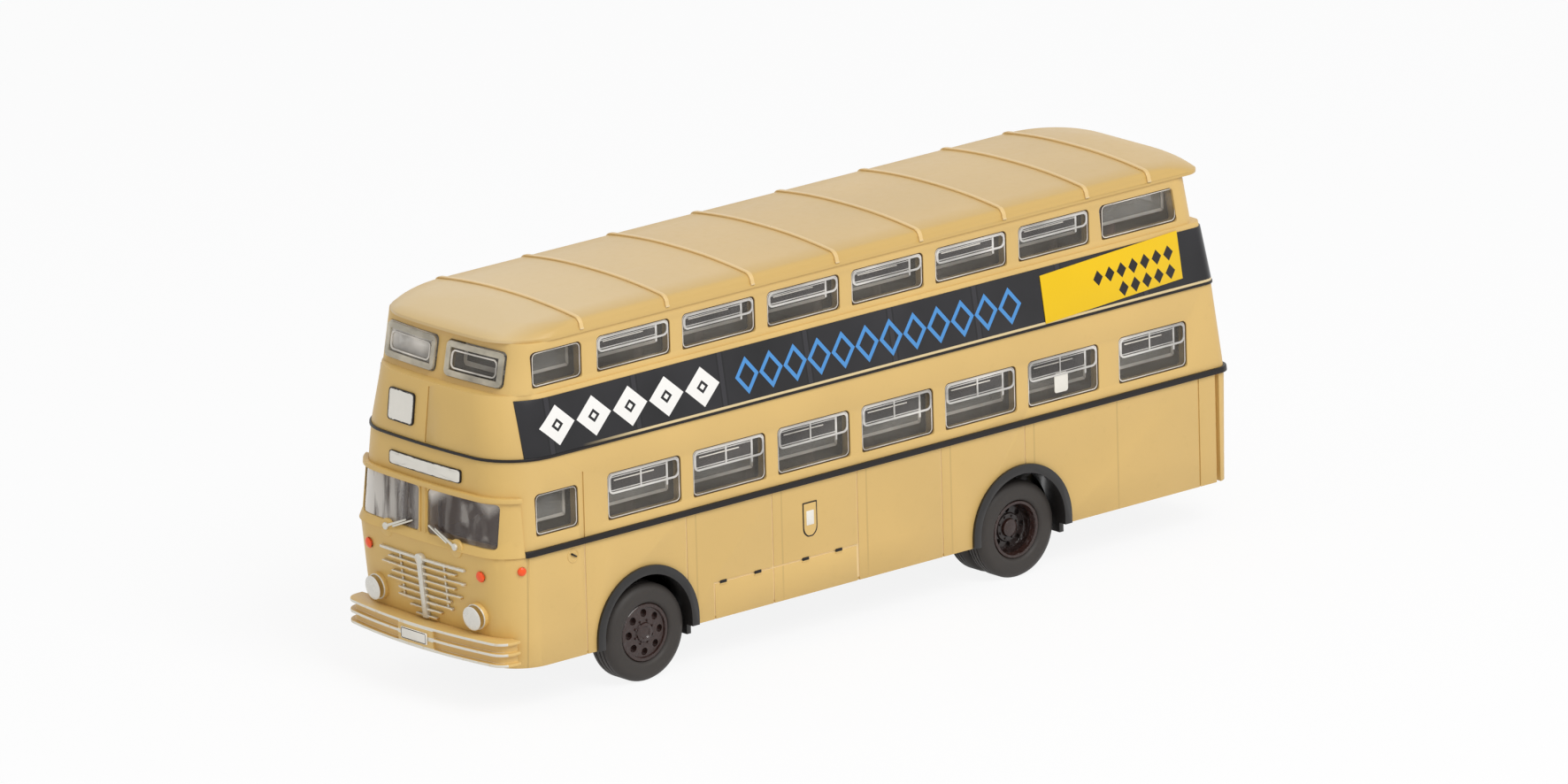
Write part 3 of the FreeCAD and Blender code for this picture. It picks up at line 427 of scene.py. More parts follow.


# Windscreen: brown-grey, with pale upright streaks of painted reflection, most of them on the
# right half, and pale spots of painted reflection in two upper corners of the left pane
def screenPlastic():
    streak = {"low": 0.5, "high": 0.66, "rightFrom": 1.2, "rightTo": -6.5}
    inner = {"y": 0.8, "z": 13.8, "slope": 0.6, "from": 0.4, "to": 1.3, "share": 0.9}
    outer = {"y": 5.9, "z": 13.7, "slope": 0.8, "from": 0.3, "to": 1.1, "share": 0.6}
    paint = Paint("screen_styrene", tints["clear"], 0.1, Alpha=0.4, Coat_Weight=0.8,
                  Coat_Roughness=0.04)
    station, y, z = paint.axes()
    run = paint.noise(1.3, 3.0, (1.0, 1.6, 0.22))
    patch = paint.noise(1.6, 2.0)
    right = 1.0 - paint.step(y, streak["rightTo"], streak["rightFrom"])
    pale = paint.step(run + right * 0.2, streak["low"], streak["high"])
    share = (pale * (right * 0.8 + 0.2)).orWith(paint.step(patch, 0.6, 0.7) * 0.4)
    for corner in (inner, outer):
        far = abs(y - corner["y"]) * corner["slope"] + (corner["z"] - z)
        spot = (1.0 - paint.step(far, corner["from"], corner["to"])) * corner["share"]
        share = share.orWith(spot)
    paint.feed("Base Color", paint.blend(tints["screen"], tints["glare"], share))
    paint.feed("Alpha", share * 0.5 + 0.38)
    paint.feed("Roughness", patch * 0.08 + 0.06)
    paint.bump(patch, 0.12, 0.02)
    return paint


# Upper front panes: the one on the right side is pale with a painted reflection, most of all at
# its top
def upperScreenPlastic():
    glare = {"yFrom": -1.2, "yTo": -0.6, "zFrom": 20.6, "zTo": 22.3}
    paint = clearPlastic("upper_screen_styrene", tints["clear"], 0.3, 0.08)
    station, y, z = paint.axes()
    cloud = paint.step(paint.noise(1.4, 2.0, (1.0, 0.6, 1.0)), 0.3, 0.65)
    pale = 1.0 - paint.step(y, glare["yFrom"], glare["yTo"])
    pale = pale * paint.step(z, glare["zFrom"], glare["zTo"]) * (cloud * 0.4 + 0.6)
    paint.feed("Base Color", paint.blend(paint.tone(), tints["glare"], pale))
    paint.feed("Alpha", pale * 0.6 + 0.3)
    return paint


# Grille: silver on the spine, the top slat and the upper edge of each slat, beige elsewhere
def grillePaint():
    slats = {"top": 9.15, "step": 0.48125, "edge": 0.02, "spine": 0.3, "topBar": 0.2}
    paint = silverPaint("grille_silver", tints["body"])
    station, y, z = paint.axes()
    up = (z - (slats["top"] - slats["step"] / 2)) % slats["step"] - slats["step"] / 2
    bright = (up > slats["edge"]) * 0.9
    bright = bright.orWith(abs(y) < slats["spine"]).orWith(z > slats["top"] - slats["topBar"])
    bright = bright.orWith(paint.step(paint.noise(0.7, 2.0), 0.52, 0.62) * 0.55)
    paint.feed("Base Color", paint.blend(shade(tints["body"], 0.96), paint.tone(), bright))
    return paint


# Hubs: crinkled glossy brown
def hubPaint(name):
    paint = moulded(name, tints["hub"], 0.28, 0.15, 0.5, Coat_Weight=0.6, Coat_Roughness=0.08)
    paint.bump(paint.noise(0.34, 3.0), 0.9, 0.14)
    return paint


# Rear hub: its well is darker than its rim and boss, with painted shade
def rearHubPaint():
    well = {"inner": 0.62, "outer": 1.6}
    paint = hubPaint("rear_hub_plastic")
    station, y, z = paint.axes()
    across = station - (bus["nose"] - bus["rearAxle"])
    up = z - bus["axleHeight"]
    far = paint.node("ShaderNodeMath", {"operation": "SQRT"}, {0: across * across + up * up})
    deep = (far < well["outer"]) * (far > well["inner"])
    paint.feed("Base Color", paint.blend(paint.tone(), tints["hubWellShade"], deep * 0.75))
    return paint


# Roof: paler towards the front with a painted sheen, darker and warmer where it turns down to the
# sides and nose with painted shade
def roofEnamel():
    areas = {"frontFrom": 3.0, "frontTo": 24.0, "sideFrom": 5.2, "sideTo": 6.9,
             "noseFrom": 1.2, "noseTo": 3.0}
    paint = enamel("roof_enamel", tints["roof"], 0.38)
    station, y, z = paint.axes()
    front = 1.0 - paint.step(station, areas["frontFrom"], areas["frontTo"])
    down = paint.step(abs(y), areas["sideFrom"], areas["sideTo"])
    nose = 1.0 - paint.step(station, areas["noseFrom"], areas["noseTo"])
    tone = paint.blend(paint.tone(), tints["roofFrontSheen"], front * 0.75)
    tone = paint.blend(tone, tints["roofSideShade"], down * 0.8)
    paint.feed("Base Color", paint.blend(tone, tints["roofSideShade"], nose * 0.8))
    return paint


# Roof ribs: painted highlight, lighter than the roof, most of all at their ends
def ribPaint():
    end = {"from": 23.9, "to": 24.1}
    paint = enamel("rib_enamel", shade(tints["roof"], 1.16), 0.3)
    station, y, z = paint.axes()
    low = 1.0 - paint.step(z, end["from"], end["to"])
    paint.feed("Base Color", paint.blend(paint.tone(), tints["lamp"], low * 0.55))
    return paint


# Finishes by material slot, and finishes of single pieces
finish = {
    "body_paint": bodyEnamel(),
    "roof_paint": roofEnamel(),
    "clear_glazing": clearPlastic("clear_styrene", tints["clear"], 0.27, 0.08),
    "dark_trim": moulded("trim_print", tints["dark"], 0.4, 0.15, 0.15),
    "band_paint": bandPrint(),
    "yellow_paint": panelPrint(),
    "black_plastic": moulded("black_plastic", tints["black"], 0.34, Coat_Weight=0.4,
                             Coat_Roughness=0.12),
    "tyre_rubber": moulded("tyre_rubber", tints["tyre"], 0.55, 0.1, 0.2),
    "hub_plastic": moulded("hub_plastic", tints["hub"], 0.3, 0.22, 0.4, Coat_Weight=0.5,
                           Coat_Roughness=0.1),
    "axle_steel": moulded("axle_steel", tints["steel"], 0.3, 0.08, 0.2, Metallic=0.9),
    "interior_plastic": moulded("interior_plastic", tints["inside"], 0.55),
    "seat_plastic": seatPlastic(),
    "sign_white": moulded("sign_print", tints["sign"], 0.4, 0.2, 0.05),
    "silver_paint": silverPaint("silver_paint", tints["body"]),
    "lamp_lens": lens("lamp_lens", tints["lamp"], 0.25),
    "orange_lens": lens("orange_lens", tints["orange"], 0.3, 0.1),
    "red_lens": lens("red_lens", tints["red"], 0.25),
}
extra = {
    "bumper": bumperPaint(),
    "screen": screenPlastic(),
    "upperScreen": upperScreenPlastic(),
    "grille": grillePaint(),
    "rearHub": rearHubPaint(),
    "ribs": ribPaint(),
    # the dark ring round each pane: painted shade
    "gap": moulded("window_gap", tints["gap"], 0.6),
    # the lighter pane inside each block: painted reflection
    "pane": clearPlastic("clear_pane", tints["pane"], 0.44, 0.15),
    # the upper front frames: beige partly a painted reflection of the body
    "frontFrame": clearPlastic("clear_front_frame", tints["frontFrame"], 0.7, 0.12),
    "vent": clearPlastic("clear_vent", tints["vent"], 0.88, 0.16),
    # the dark plate in each vent: painted shade
    "slot": clearPlastic("clear_slot", tints["slot"], 0.66, 0.2),
    # the bright bar in each vent: painted highlight
    "streak": clearPlastic("clear_streak", tints["edge"], 0.8, 0.12),
    "rubber": moulded("door_rubber", tints["dark"], 0.5, 0.1, 0.1),
    "hub": hubPaint("hub_glossy_plastic"),
    # the pale rims and block edges: painted highlight
    "edge": clearPlastic("clear_edge", tints["edge"], 0.85, 0.2),
    "bareSilver": silverPaint("lamp_silver", tints["body"], 0.3),
}
print("materials ready", len(finish) + len(extra))

slotOf = {}
for part in frame["record"]["subparts"]:
    slotOf[part["node"]] = part["material_slot"]
for name, node in nodes.items():
    node.data.materials.clear()
    node.data.materials.append(finish[slotOf[name]].material)


# Tools of the bench
def selectNone():
    bpy.ops.object.select_all(action="DESELECT")


def selectOnly(piece):
    selectNone()
    piece.select_set(True)
    bpy.context.view_layer.objects.active = piece


def openEdit(piece):
    selectOnly(piece)
    bpy.ops.object.mode_set(mode="EDIT")
    bpy.ops.mesh.select_mode(type="FACE")
    bpy.ops.mesh.select_all(action="SELECT")


def closeEdit():
    bpy.ops.object.mode_set(mode="OBJECT")


def modify(piece, kind, **settings):
    selectOnly(piece)
    made = piece.modifiers.new(kind.lower(), kind)
    for name, value in settings.items():
        setattr(made, name, value)
    bpy.ops.object.modifier_apply(modifier=made.name)


def settle():
    # the selected piece's place, turn and size go into its mesh
    bpy.ops.object.transform_apply(location=True, rotation=True, scale=True)


sharpAngle = 32  # degrees: edges are sharp from here on


def smooth(piece, angle=sharpAngle):
    selectOnly(piece)
    bpy.ops.object.shade_smooth_by_angle(angle=math.radians(angle))


def roundEdges(piece, width):
    if width:
        modify(piece, "BEVEL", width=width * mm, segments=2, limit_method="ANGLE",
               angle_limit=math.radians(sharpAngle), use_clamp_overlap=True)
    smooth(piece)


def put(piece, place, turn):
    selectOnly(piece)
    piece.rotation_mode = "QUATERNION"
    piece.rotation_quaternion = turn
    piece.location = Vector(place) * mm
    settle()


# Seats a piece made flat on the ground plane: its own up goes along normal
def seat(piece, place, normal=None):
    put(piece, place, Vector(normal).to_track_quat("Z", "Y") if normal else Quaternion())


# Seats a piece made along X with its face up: along and out give its new X and Z
def seatAlong(piece, place, along, out):
    along, out = Vector(along).normalized(), Vector(out)
    out = (out - along * out.dot(along)).normalized()
    put(piece, place, Matrix((along, out.cross(along), out)).transposed().to_quaternion())


def newPiece(name, data):
    piece = bpy.data.objects.new(name, data)
    bpy.context.scene.collection.objects.link(piece)
    return piece


def copyOf(piece, name):
    return newPiece(name, piece.data.copy())


def drop(piece):
    bpy.data.objects.remove(piece)


# Names a piece, gives it its finish and puts it on its body
def done(piece, name, body, slot, paint=None):
    piece.name = name
    piece.data.name = name
    piece.data.materials.clear()
    piece.data.materials.append((paint or finish[slot]).material)
    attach(piece, body)
    return piece


def joinAll(pieces):
    selectOnly(pieces[0])
    for piece in pieces[1:]:
        piece.select_set(True)
    bpy.ops.object.join()
    return pieces[0]


# A copy of a CAD node with merged points, rounded edges and smooth shading
def dressed(node, width):
    piece = copyOf(nodes[node], node + "_dressed")
    openEdit(piece)
    bpy.ops.mesh.remove_doubles(threshold=0.002 * mm)
    bpy.ops.mesh.dissolve_limited(angle_limit=math.radians(0.4))
    closeEdit()
    roundEdges(piece, width)
    return piece


bodyOf = {}
for body, members in frame["record"]["behaviour"]["bodies"].items():
    for node in members:
        bodyOf[node] = body

rounded = {  # node: width of its rounded edges in mm
    "lower_body": 0.05, "upper_body": 0.05, "roof": 0.04, "roof_ribs": 0.03,
    "windscreen_surround": 0.04, "belt_moulding": 0.05, "deck_line": 0.03, "side_band": 0.02,
    "yellow_panels": 0.02, "door_front": 0.04, "door_rear": 0.04, "wheel_guards": 0.07,
    "grille": 0.05, "rear_bumper": 0.12, "tail_lamps": 0.1, "chassis": 0.06, "engine": 0.12,
    "fuel_tank": 0.15, "lower_seats": 0.3, "upper_seats": 0.3, "steering_wheel": 0.0,
    "windscreen": 0.05, "glazing_upper_front": 0.08, "glazing_lower_left": 0.05,
    "glazing_lower_right": 0.05, "glazing_upper_left": 0.05, "glazing_upper_right": 0.05,
    "glazing_rear": 0.05, "front_bumper": 0.06, "front_axle": 0.08, "rear_axle": 0.08,
}
ownPaint = {"front_bumper": "bumper", "windscreen": "screen", "grille": "grille",
            "roof_ribs": "ribs", "glazing_upper_front": "upperScreen"}
for node, width in rounded.items():
    piece = dressed(node, width)
    paint = extra[ownPaint[node]] if node in ownPaint else None
    done(piece, node + "_dressed", bodyOf[node], slotOf[node], paint)
    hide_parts(node)
print("CAD pieces dressed", len(rounded))


# Flat rounded forms on the ground plane, whole or hollow, and their thickness
def flatForm(width, tall, corner, steps=4):
    selectNone()
    bpy.ops.mesh.primitive_plane_add(size=1, location=(0, 0, 0))
    piece = bpy.context.object
    piece.scale = (width * mm, tall * mm, 1)
    settle()
    openEdit(piece)
    bpy.ops.mesh.bevel(offset=corner * mm, segments=steps, affect="VERTICES")
    closeEdit()
    return piece


def hollowForm(piece, bar):
    openEdit(piece)
    bpy.ops.mesh.inset(thickness=bar * mm, depth=0)
    bpy.ops.mesh.delete(type="FACE")
    closeEdit()
    return piece


def thicken(piece, deep, soft):
    modify(piece, "SOLIDIFY", thickness=deep * mm, offset=1)
    roundEdges(piece, soft)
    return piece


def plate(width, tall, corner, deep, soft):
    return thicken(flatForm(width, tall, corner), deep, soft)


def ring(width, tall, corner, bar, deep, soft):
    return thicken(hollowForm(flatForm(width, tall, corner), bar), deep, soft)


# A round piece that stands on the ground plane
def puck(radius, deep, soft, corners=32):
    selectNone()
    bpy.ops.mesh.primitive_cylinder_add(vertices=corners, radius=radius * mm, depth=deep * mm,
                                        location=(0, 0, deep / 2 * mm))
    piece = bpy.context.object
    settle()
    roundEdges(piece, soft)
    return piece


# A bar from the origin along X that narrows to endShare
def taperBar(length, wide, tall, endShare, soft):
    selectNone()
    bpy.ops.mesh.primitive_cube_add(size=1, location=(length / 2 * mm, 0, tall / 2 * mm))
    piece = bpy.context.object
    piece.scale = (length * mm, wide * mm, tall * mm)
    settle()
    openEdit(piece)
    bpy.ops.mesh.select_all(action="DESELECT")
    closeEdit()
    for face in piece.data.polygons:
        face.select = face.normal.x > 0.9
    bpy.ops.object.mode_set(mode="EDIT")
    bpy.ops.transform.resize(value=(1, endShare, endShare))
    closeEdit()
    roundEdges(piece, soft)
    return piece


# Windows: of each deck's row the first station, the pitch, the opening and its vent, then
# the windows that differ from their row, and the frames and clear blocks inside all of them
windows = {
    "lower": {"wide": 6.1, "tall": 3.1, "sill": 11.3, "first": 8.97, "pitch": 7.075,
              "vent": 1.34, "divider": 0.46, "half": bus["bodyHalf"]},
    "upper": {"wide": 6.1, "tall": 2.35, "sill": 20.85, "first": 9.07, "pitch": 7.085,
              "vent": 1.0, "divider": None, "half": bus["deckHalf"]},
    "count": 6,
    "lowerRear": {"first": 52.15, "wide": 5.9},
    "cab": {"first": 3.05, "wide": 3.5, "sill": 11.5, "tall": 2.75, "vent": None},
    "upperRear": {"first": 51.65, "wide": 6.5, "vent": None},
    "quarter": {"first": 3.75, "wide": 4.1, "vent": None},
    "corner": 0.42, "gapBar": 0.08, "gapDeep": 0.05, "rimBar": 0.07, "rimDeep": 0.04,
    "blockIn": 1.0, "blockBar": 0.22, "blockSide": 0.3, "blockLow": 0.6, "blockHigh": 0.12,
}
vents = {"margin": 0.12, "bar": 0.14, "proud": 0.1, "slideWide": 0.8, "slideLess": 2.9,
         "slideBar": 0.06, "slideAt": 0.07, "edgeAt": 0.33, "edgeWide": 0.15, "edgeTall": 1.15,
         "edgeDown": 0.16, "streakWide": 0.72, "streakTall": 0.08, "streakAt": 0.08,
         "streakUp": 0.16}
paneRings = (  # round each pane: kind, less in size, bar, depth, slot and finish
    # the gap ring is painted shade
    ("gap", 0.0, windows["gapBar"], windows["gapDeep"], "dark_trim", extra["gap"]),
    # the rim ring is painted highlight
    ("rim", 2 * windows["gapBar"], windows["rimBar"], windows["rimDeep"], "clear_glazing",
     extra["edge"]),
)


def slideTall(tall):
    return tall - vents["slideLess"] * vents["bar"]


# A vent's frame with its sliding pane, the pane's wide edge and a bar between two panes
def ventFrame(wide, tall, divider):
    pieces = [ring(wide, tall, min(windows["corner"], tall / 2.4), vents["bar"],
                   vents["proud"], soft=0.03)]
    slide = ring(wide * vents["slideWide"], slideTall(tall), corner=0.15,
                 bar=vents["slideBar"], deep=0.05, soft=0.015)
    seat(slide, (-wide * vents["slideAt"], 0, 0))
    edge = plate(vents["edgeWide"], tall * vents["edgeTall"], corner=0.03, deep=0.06, soft=0.015)
    seat(edge, (wide * vents["edgeAt"], -tall * vents["edgeDown"], 0))
    pieces += [slide, edge]
    if divider:
        bar = plate(vents["bar"] * 0.8, tall - vents["bar"], corner=0.02,
                    deep=vents["proud"] * 0.9, soft=0.03)
        seat(bar, (wide * (divider - 0.5), 0, 0))
        pieces.append(bar)
    return joinAll(pieces)


def flipAcross(piece):
    # mirrored from left to right, with its faces turned out again
    selectOnly(piece)
    piece.scale = (-1, 1, 1)
    settle()
    openEdit(piece)
    bpy.ops.mesh.normals_make_consistent(inside=False)
    closeEdit()


# Window forms are made once for each size and copied; fit seats one copy on a side
class WindowForms:
    def __init__(self):
        self.made = {}

    def fit(self, key, make, name, spot, side, slot, paint, flip=False):
        if key not in self.made:
            self.made[key] = make()
        piece = copyOf(self.made[key], name)
        if flip:
            flipAcross(piece)
        seat(piece, spot, (0, side, 0))
        done(piece, name, "bus_body", slot, paint)

    def clear(self):
        for form in self.made.values():
            drop(form)


def fitWindow(name, side, kind, forms):
    wide, tall, sill, vent = kind["wide"], kind["tall"], kind["sill"], kind["vent"]
    x = bus["nose"] - kind["first"] - wide / 2
    face = side * (kind["half"] - bus["glassInset"])
    size = (wide, tall, vent)
    if vent:
        frameWide = wide - 2 * vents["margin"]
        high = sill + tall - vent / 2 - vents["margin"]
        inner = frameWide * vents["slideWide"] - vents["slideBar"]
        middle = x + frameWide * vents["slideAt"]
        forms.fit(size + ("vent",), lambda: ventFrame(frameWide, vent, kind["divider"]),
                  name + "_vent", (x, face, high), side, "clear_glazing", extra["vent"], side < 0)
        # the slot is a plate of painted shade
        forms.fit(size + ("slot",),
                  lambda: plate(inner, slideTall(vent) - vents["slideBar"], corner=0.1,
                                deep=0.02, soft=0.006),
                  name + "_slot", (middle, face, high), side, "clear_glazing", extra["slot"])
        # the streak is a bar of painted highlight
        forms.fit(size + ("streak",),
                  lambda: plate(inner * vents["streakWide"], vents["streakTall"], corner=0.03,
                                deep=0.04, soft=0.012),
                  name + "_streak", (middle + inner * vents["streakAt"], face,
                                     high + vent * vents["streakUp"]),
                  side, "clear_glazing", extra["streak"])
    for part, less, bar, deep, slot, paint in paneRings:
        forms.fit(size + (part,),
                  lambda: ring(wide - less, tall - less, windows["corner"] - less / 2, bar, deep,
                               soft=0.012),
                  f"{name}_{part}", (x, face, sill + tall / 2), side, slot, paint)
    blockWide = wide - 2 * windows["blockSide"]
    blockTall = tall - windows["blockLow"] - windows["blockHigh"]
    back = (x, side * (kind["half"] - windows["blockIn"]),
            sill + windows["blockLow"] + blockTall / 2)
    # the ring at the clear block's edges is painted highlight
    forms.fit(size + ("block",),
              lambda: ring(blockWide, blockTall, corner=0.12, bar=windows["blockBar"],
                           deep=0.05, soft=0.02),
              name + "_block", back, side, "clear_glazing", extra["edge"])
    # the pane is painted reflection
    forms.fit(size + ("pane",),
              lambda: plate(blockWide - windows["blockBar"], blockTall - windows["blockBar"],
                            corner=0.1, deep=0.03, soft=0.01),
              name + "_pane", back, side, "clear_glazing", extra["pane"])


for side, word in sides:
    forms = WindowForms()
    for deck in ("lower", "upper"):
        kind = windows[deck]
        for i in range(windows["count"]):
            fitWindow(f"window_{deck}_{word}_{i + 1}", side,
                      {**kind, "first": kind["first"] + i * kind["pitch"]}, forms)
    low, high = windows["lower"], windows["upper"]
    if word == "left":
        fitWindow("window_lower_left_7", side, {**low, **windows["lowerRear"]}, forms)
        fitWindow("window_cab_left", side, {**low, **windows["cab"]}, forms)
    fitWindow(f"window_upper_{word}_7", side, {**high, **windows["upperRear"]}, forms)
    fitWindow(f"window_quarter_{word}", side, {**high, **windows["quarter"]}, forms)
    forms.clear()
print("windows fitted")


# The first point of a CAD node met from start along a direction, and its outward direction
def strike(node, start, along):
    spot, normal = nodes[node].ray_cast(Vector(start) * mm, Vector(along))[1:3]
    return spot / mm, normal


def hit(node, y, z):
    return strike(node, (bus["aimFrom"], y, z), (-1, 0, 0))


# Flat pieces laid on a curved face of a CAD node: projected along X
def layOn(piece, node, proud, towards=-1, cuts=3):
    modify(piece, "SUBSURF", subdivision_type="SIMPLE", levels=cuts, render_levels=cuts)
    modify(piece, "SHRINKWRAP", wrap_method="PROJECT", use_project_x=True,
           use_negative_direction=towards < 0, use_positive_direction=towards > 0,
           target=nodes[node], offset=proud * mm)


# Upper front windows: clear blocks with a stepped frame that stands proud; the frame's beige is
# partly a painted reflection of the body, and the step ring and the ring at the block's rear edge
# are painted highlight
frontBlock = {"y": 3.1, "z": 22.025, "wide": 5.14, "tall": 2.2, "corner": 0.36, "bar": 0.38,
              "deep": 0.14, "step": 0.5, "stepBar": 0.1, "stepDeep": 0.1, "rearIn": 1.15,
              "rearBar": 0.32, "rearWide": 4.4, "rearTall": 1.55, "rearDeep": 0.05,
              "rearUp": 0.12}
frontForms = (  # kind, width, height, bar, out from the pane, depth, raised by, finish
    ("frame", frontBlock["wide"], frontBlock["tall"], frontBlock["bar"], 0.0,
     frontBlock["deep"], 0.0, extra["frontFrame"]),
    ("step", frontBlock["wide"] - 2 * frontBlock["step"],
     frontBlock["tall"] - 2 * frontBlock["step"], frontBlock["stepBar"], 0.0,
     frontBlock["stepDeep"], 0.0, extra["edge"]),
    ("block", frontBlock["rearWide"], frontBlock["rearTall"], frontBlock["rearBar"],
     -frontBlock["rearIn"], frontBlock["rearDeep"], frontBlock["rearUp"], extra["edge"]),
)
for side, word in sides:
    for kind, wide, tall, bar, proud, deep, up, paint in frontForms:
        piece = hollowForm(flatForm(wide, tall, frontBlock["corner"]), bar)
        seat(piece, (bus["away"], side * frontBlock["y"], frontBlock["z"] + up), (1, 0, 0))
        layOn(piece, "glazing_upper_front", proud)
        thicken(piece, deep, deep * 0.35)
        done(piece, f"front_window_{word}_{kind}", "bus_body", "clear_glazing", paint)

# Rear windows: a dark gap of painted shade and a clear rim of painted highlight round each pane
tailWindow = {"y": 2.0, "wide": 3.2, "corner": 0.36, "lower": (13.1, 3.0), "upper": (22.025, 2.35)}
for deck in ("lower", "upper"):
    middle, tall = tailWindow[deck]
    for side, word in sides:
        for kind, less, bar, deep, slot, paint in paneRings:
            piece = hollowForm(flatForm(tailWindow["wide"] - less, tall - less,
                                        tailWindow["corner"] - less / 2), bar)
            seat(piece, (-bus["away"], side * tailWindow["y"], middle), (-1, 0, 0))
            layOn(piece, "glazing_rear", 0.0, 1)
            thicken(piece, deep, 0.012)
            done(piece, f"rear_window_{deck}_{word}_{kind}", "bus_body", slot, paint)

# Doors: seals and clear panes in the leaves, each pane of painted reflection in a rim of painted
# highlight, rubber between the leaves, grab handles
doors = {"front": {"first": 3.63, "wide": 3.74, "leaves": 2},
         "rear": {"first": 51.33, "wide": 7.14, "leaves": 4},
         "rail": 0.45, "low": 5.3, "high": 13.75, "foot": 3.95, "head": 14.55, "seal": 0.08,
         "rubber": 0.11, "gap": 0.02, "sealY": 7.42, "rimY": 7.4, "paneY": 7.33,
         "rubberY": 7.36, "handleY": 7.55, "handleZ": 8.2, "handleLong": 1.5,
         "handleThick": 0.09, "handleAt": 0.23}
for door in ("front", "rear"):
    first, leaves = bus["nose"] - doors[door]["first"], doors[door]["leaves"]
    leaf = doors[door]["wide"] / leaves
    glass = leaf - 2 * doors["rail"]
    tall = doors["high"] - doors["low"]
    middle = (doors["low"] + doors["high"]) / 2
    inside = doors["gap"] - 2 * doors["seal"]
    seal = ring(glass + doors["gap"], tall + doors["gap"], corner=0.06, bar=doors["seal"],
                deep=0.06, soft=0.015)
    rim = ring(glass + inside, tall + inside, corner=0.05, bar=0.05, deep=0.05, soft=0.012)
    clear = plate(glass - 2 * doors["gap"], tall - 2 * doors["gap"], corner=0.05, deep=0.05,
                  soft=0.01)
    joint = plate(doors["rubber"], doors["head"] - doors["foot"], corner=0.03, deep=0.08,
                  soft=0.02)
    for i in range(leaves):
        x = first - (i + 0.5) * leaf
        # the rim is painted highlight and the pane painted reflection
        for form, kind, slot, paint in ((seal, "seal", "dark_trim", extra["rubber"]),
                                        (rim, "rim", "clear_glazing", extra["edge"]),
                                        (clear, "pane", "clear_glazing", extra["pane"])):
            piece = copyOf(form, kind)
            seat(piece, (x, -doors[kind + "Y"], middle), (0, -1, 0))
            done(piece, f"door_{door}_{kind}_{i + 1}", "bus_body", slot, paint)
        edge = first - i * leaf
        if i:
            piece = copyOf(joint, "joint")
            seat(piece, (edge, -doors["rubberY"], (doors["foot"] + doors["head"]) / 2),
                 (0, -1, 0))
            done(piece, f"door_{door}_rubber_{i}", "bus_body", "dark_trim", extra["rubber"])
        if i == leaves / 2:
            for letter, at in (("a", doors["handleAt"]), ("b", -doors["handleAt"])):
                piece = taperBar(doors["handleLong"], doors["handleThick"],
                                 doors["handleThick"], endShare=1.0, soft=0.03)
                seatAlong(piece, (edge + at, -doors["handleY"], doors["handleZ"]), (0, 0, 1),
                          (0, -1, 0))
                done(piece, f"door_{door}_handle_{letter}", "bus_body", "silver_paint")
    for form in (seal, rim, clear, joint):
        drop(form)
print("doors, front and rear windows fitted")

# Two thin ridges on the pillar between the windscreens
ridge = {"y": 0.27, "wide": 0.12, "tall": 2.86, "z": 12.3, "deep": 0.07}
for side, word in sides:
    piece = flatForm(ridge["wide"], ridge["tall"], corner=0.03)
    seat(piece, (bus["away"], side * ridge["y"], ridge["z"]), (1, 0, 0))
    layOn(piece, "windscreen_surround", 0.0, -1, 2)
    thicken(piece, ridge["deep"], 0.03)
    done(piece, f"pillar_ridge_{word}", "bus_body", "body_paint")

# Signs: a blank off-white face in a thin black border, laid on the front or the rear
signs = {  # carrier, end, y, z, width, height, corner, depth, border
    "destination_sign": ("lower_body", 1, 0, 15.07, 6.98, 0.88, 0.2, 0.14, 0.09),
    "route_box": ("upper_body", 1, -2.525, 18.45, 2.62, 2.08, 0.26, 0.14, 0.12),
    "rear_route_sign": ("upper_body", -1, 0, 18.4, 2.4, 1.6, 0.2, 0.1, 0.1),
    "rear_plate": ("lower_body", -1, 0, 6.6, 2.6, 0.7, 0.12, 0.1, 0.07),
}
for name, (carrier, end, y, z, wide, tall, corner, deep, bar) in signs.items():
    face = flatForm(wide - bar, tall - bar, corner, 5)
    border = hollowForm(flatForm(wide, tall, corner, 5), bar)
    for piece, kind, slot, soft in ((face, "face", "sign_white", 0.3),
                                    (border, "border", "dark_trim", 0.2)):
        seat(piece, (end * bus["away"], y, z), (end, 0, 0))
        layOn(piece, carrier, 0.0, -end)
        thicken(piece, deep, deep * soft)
        done(piece, f"{name}_{kind}", "bus_body", slot)
    if name in nodes:
        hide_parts(name)

# Number plate, and a border that lies on its face
numberPlate = {"soft": 0.04, "wide": 2.44, "tall": 0.7, "corner": 0.12, "bar": 0.06, "deep": 0.03}
piece = dressed("number_plate", numberPlate["soft"])
done(piece, "number_plate_dressed", "bus_body", slotOf["number_plate"])
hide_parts("number_plate")
low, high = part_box("number_plate")
border = hollowForm(flatForm(numberPlate["wide"], numberPlate["tall"], numberPlate["corner"]),
                    numberPlate["bar"])
seat(border, (high[0] / mm - numberPlate["deep"], 0, (low[2] + high[2]) / 2 / mm), (1, 0, 0))
thicken(border, numberPlate["deep"], soft=0.008)
done(border, "number_plate_border", "bus_body", "dark_trim")
print("signs made")


# A low dome and a hoop, both round Z
def dome(radius, high):
    selectNone()
    bpy.ops.mesh.primitive_uv_sphere_add(segments=48, ring_count=24, radius=radius * mm)
    piece = bpy.context.object
    openEdit(piece)
    bpy.ops.mesh.bisect(plane_co=(0, 0, 0), plane_no=(0, 0, 1), use_fill=True, clear_inner=True)
    bpy.ops.mesh.select_all(action="SELECT")
    bpy.ops.transform.resize(value=(1, 1, high / radius))
    bpy.ops.mesh.normals_make_consistent(inside=False)
    closeEdit()
    smooth(piece, 40)
    return piece


def hoop(radius, thick, tall, steps=56, corners=14):
    selectNone()
    bpy.ops.mesh.primitive_torus_add(major_segments=steps, minor_segments=corners,
                                     major_radius=radius * mm, minor_radius=thick * mm)
    piece = bpy.context.object
    openEdit(piece)
    bpy.ops.transform.resize(value=(1, 1, tall))
    closeEdit()
    smooth(piece, 60)
    return piece


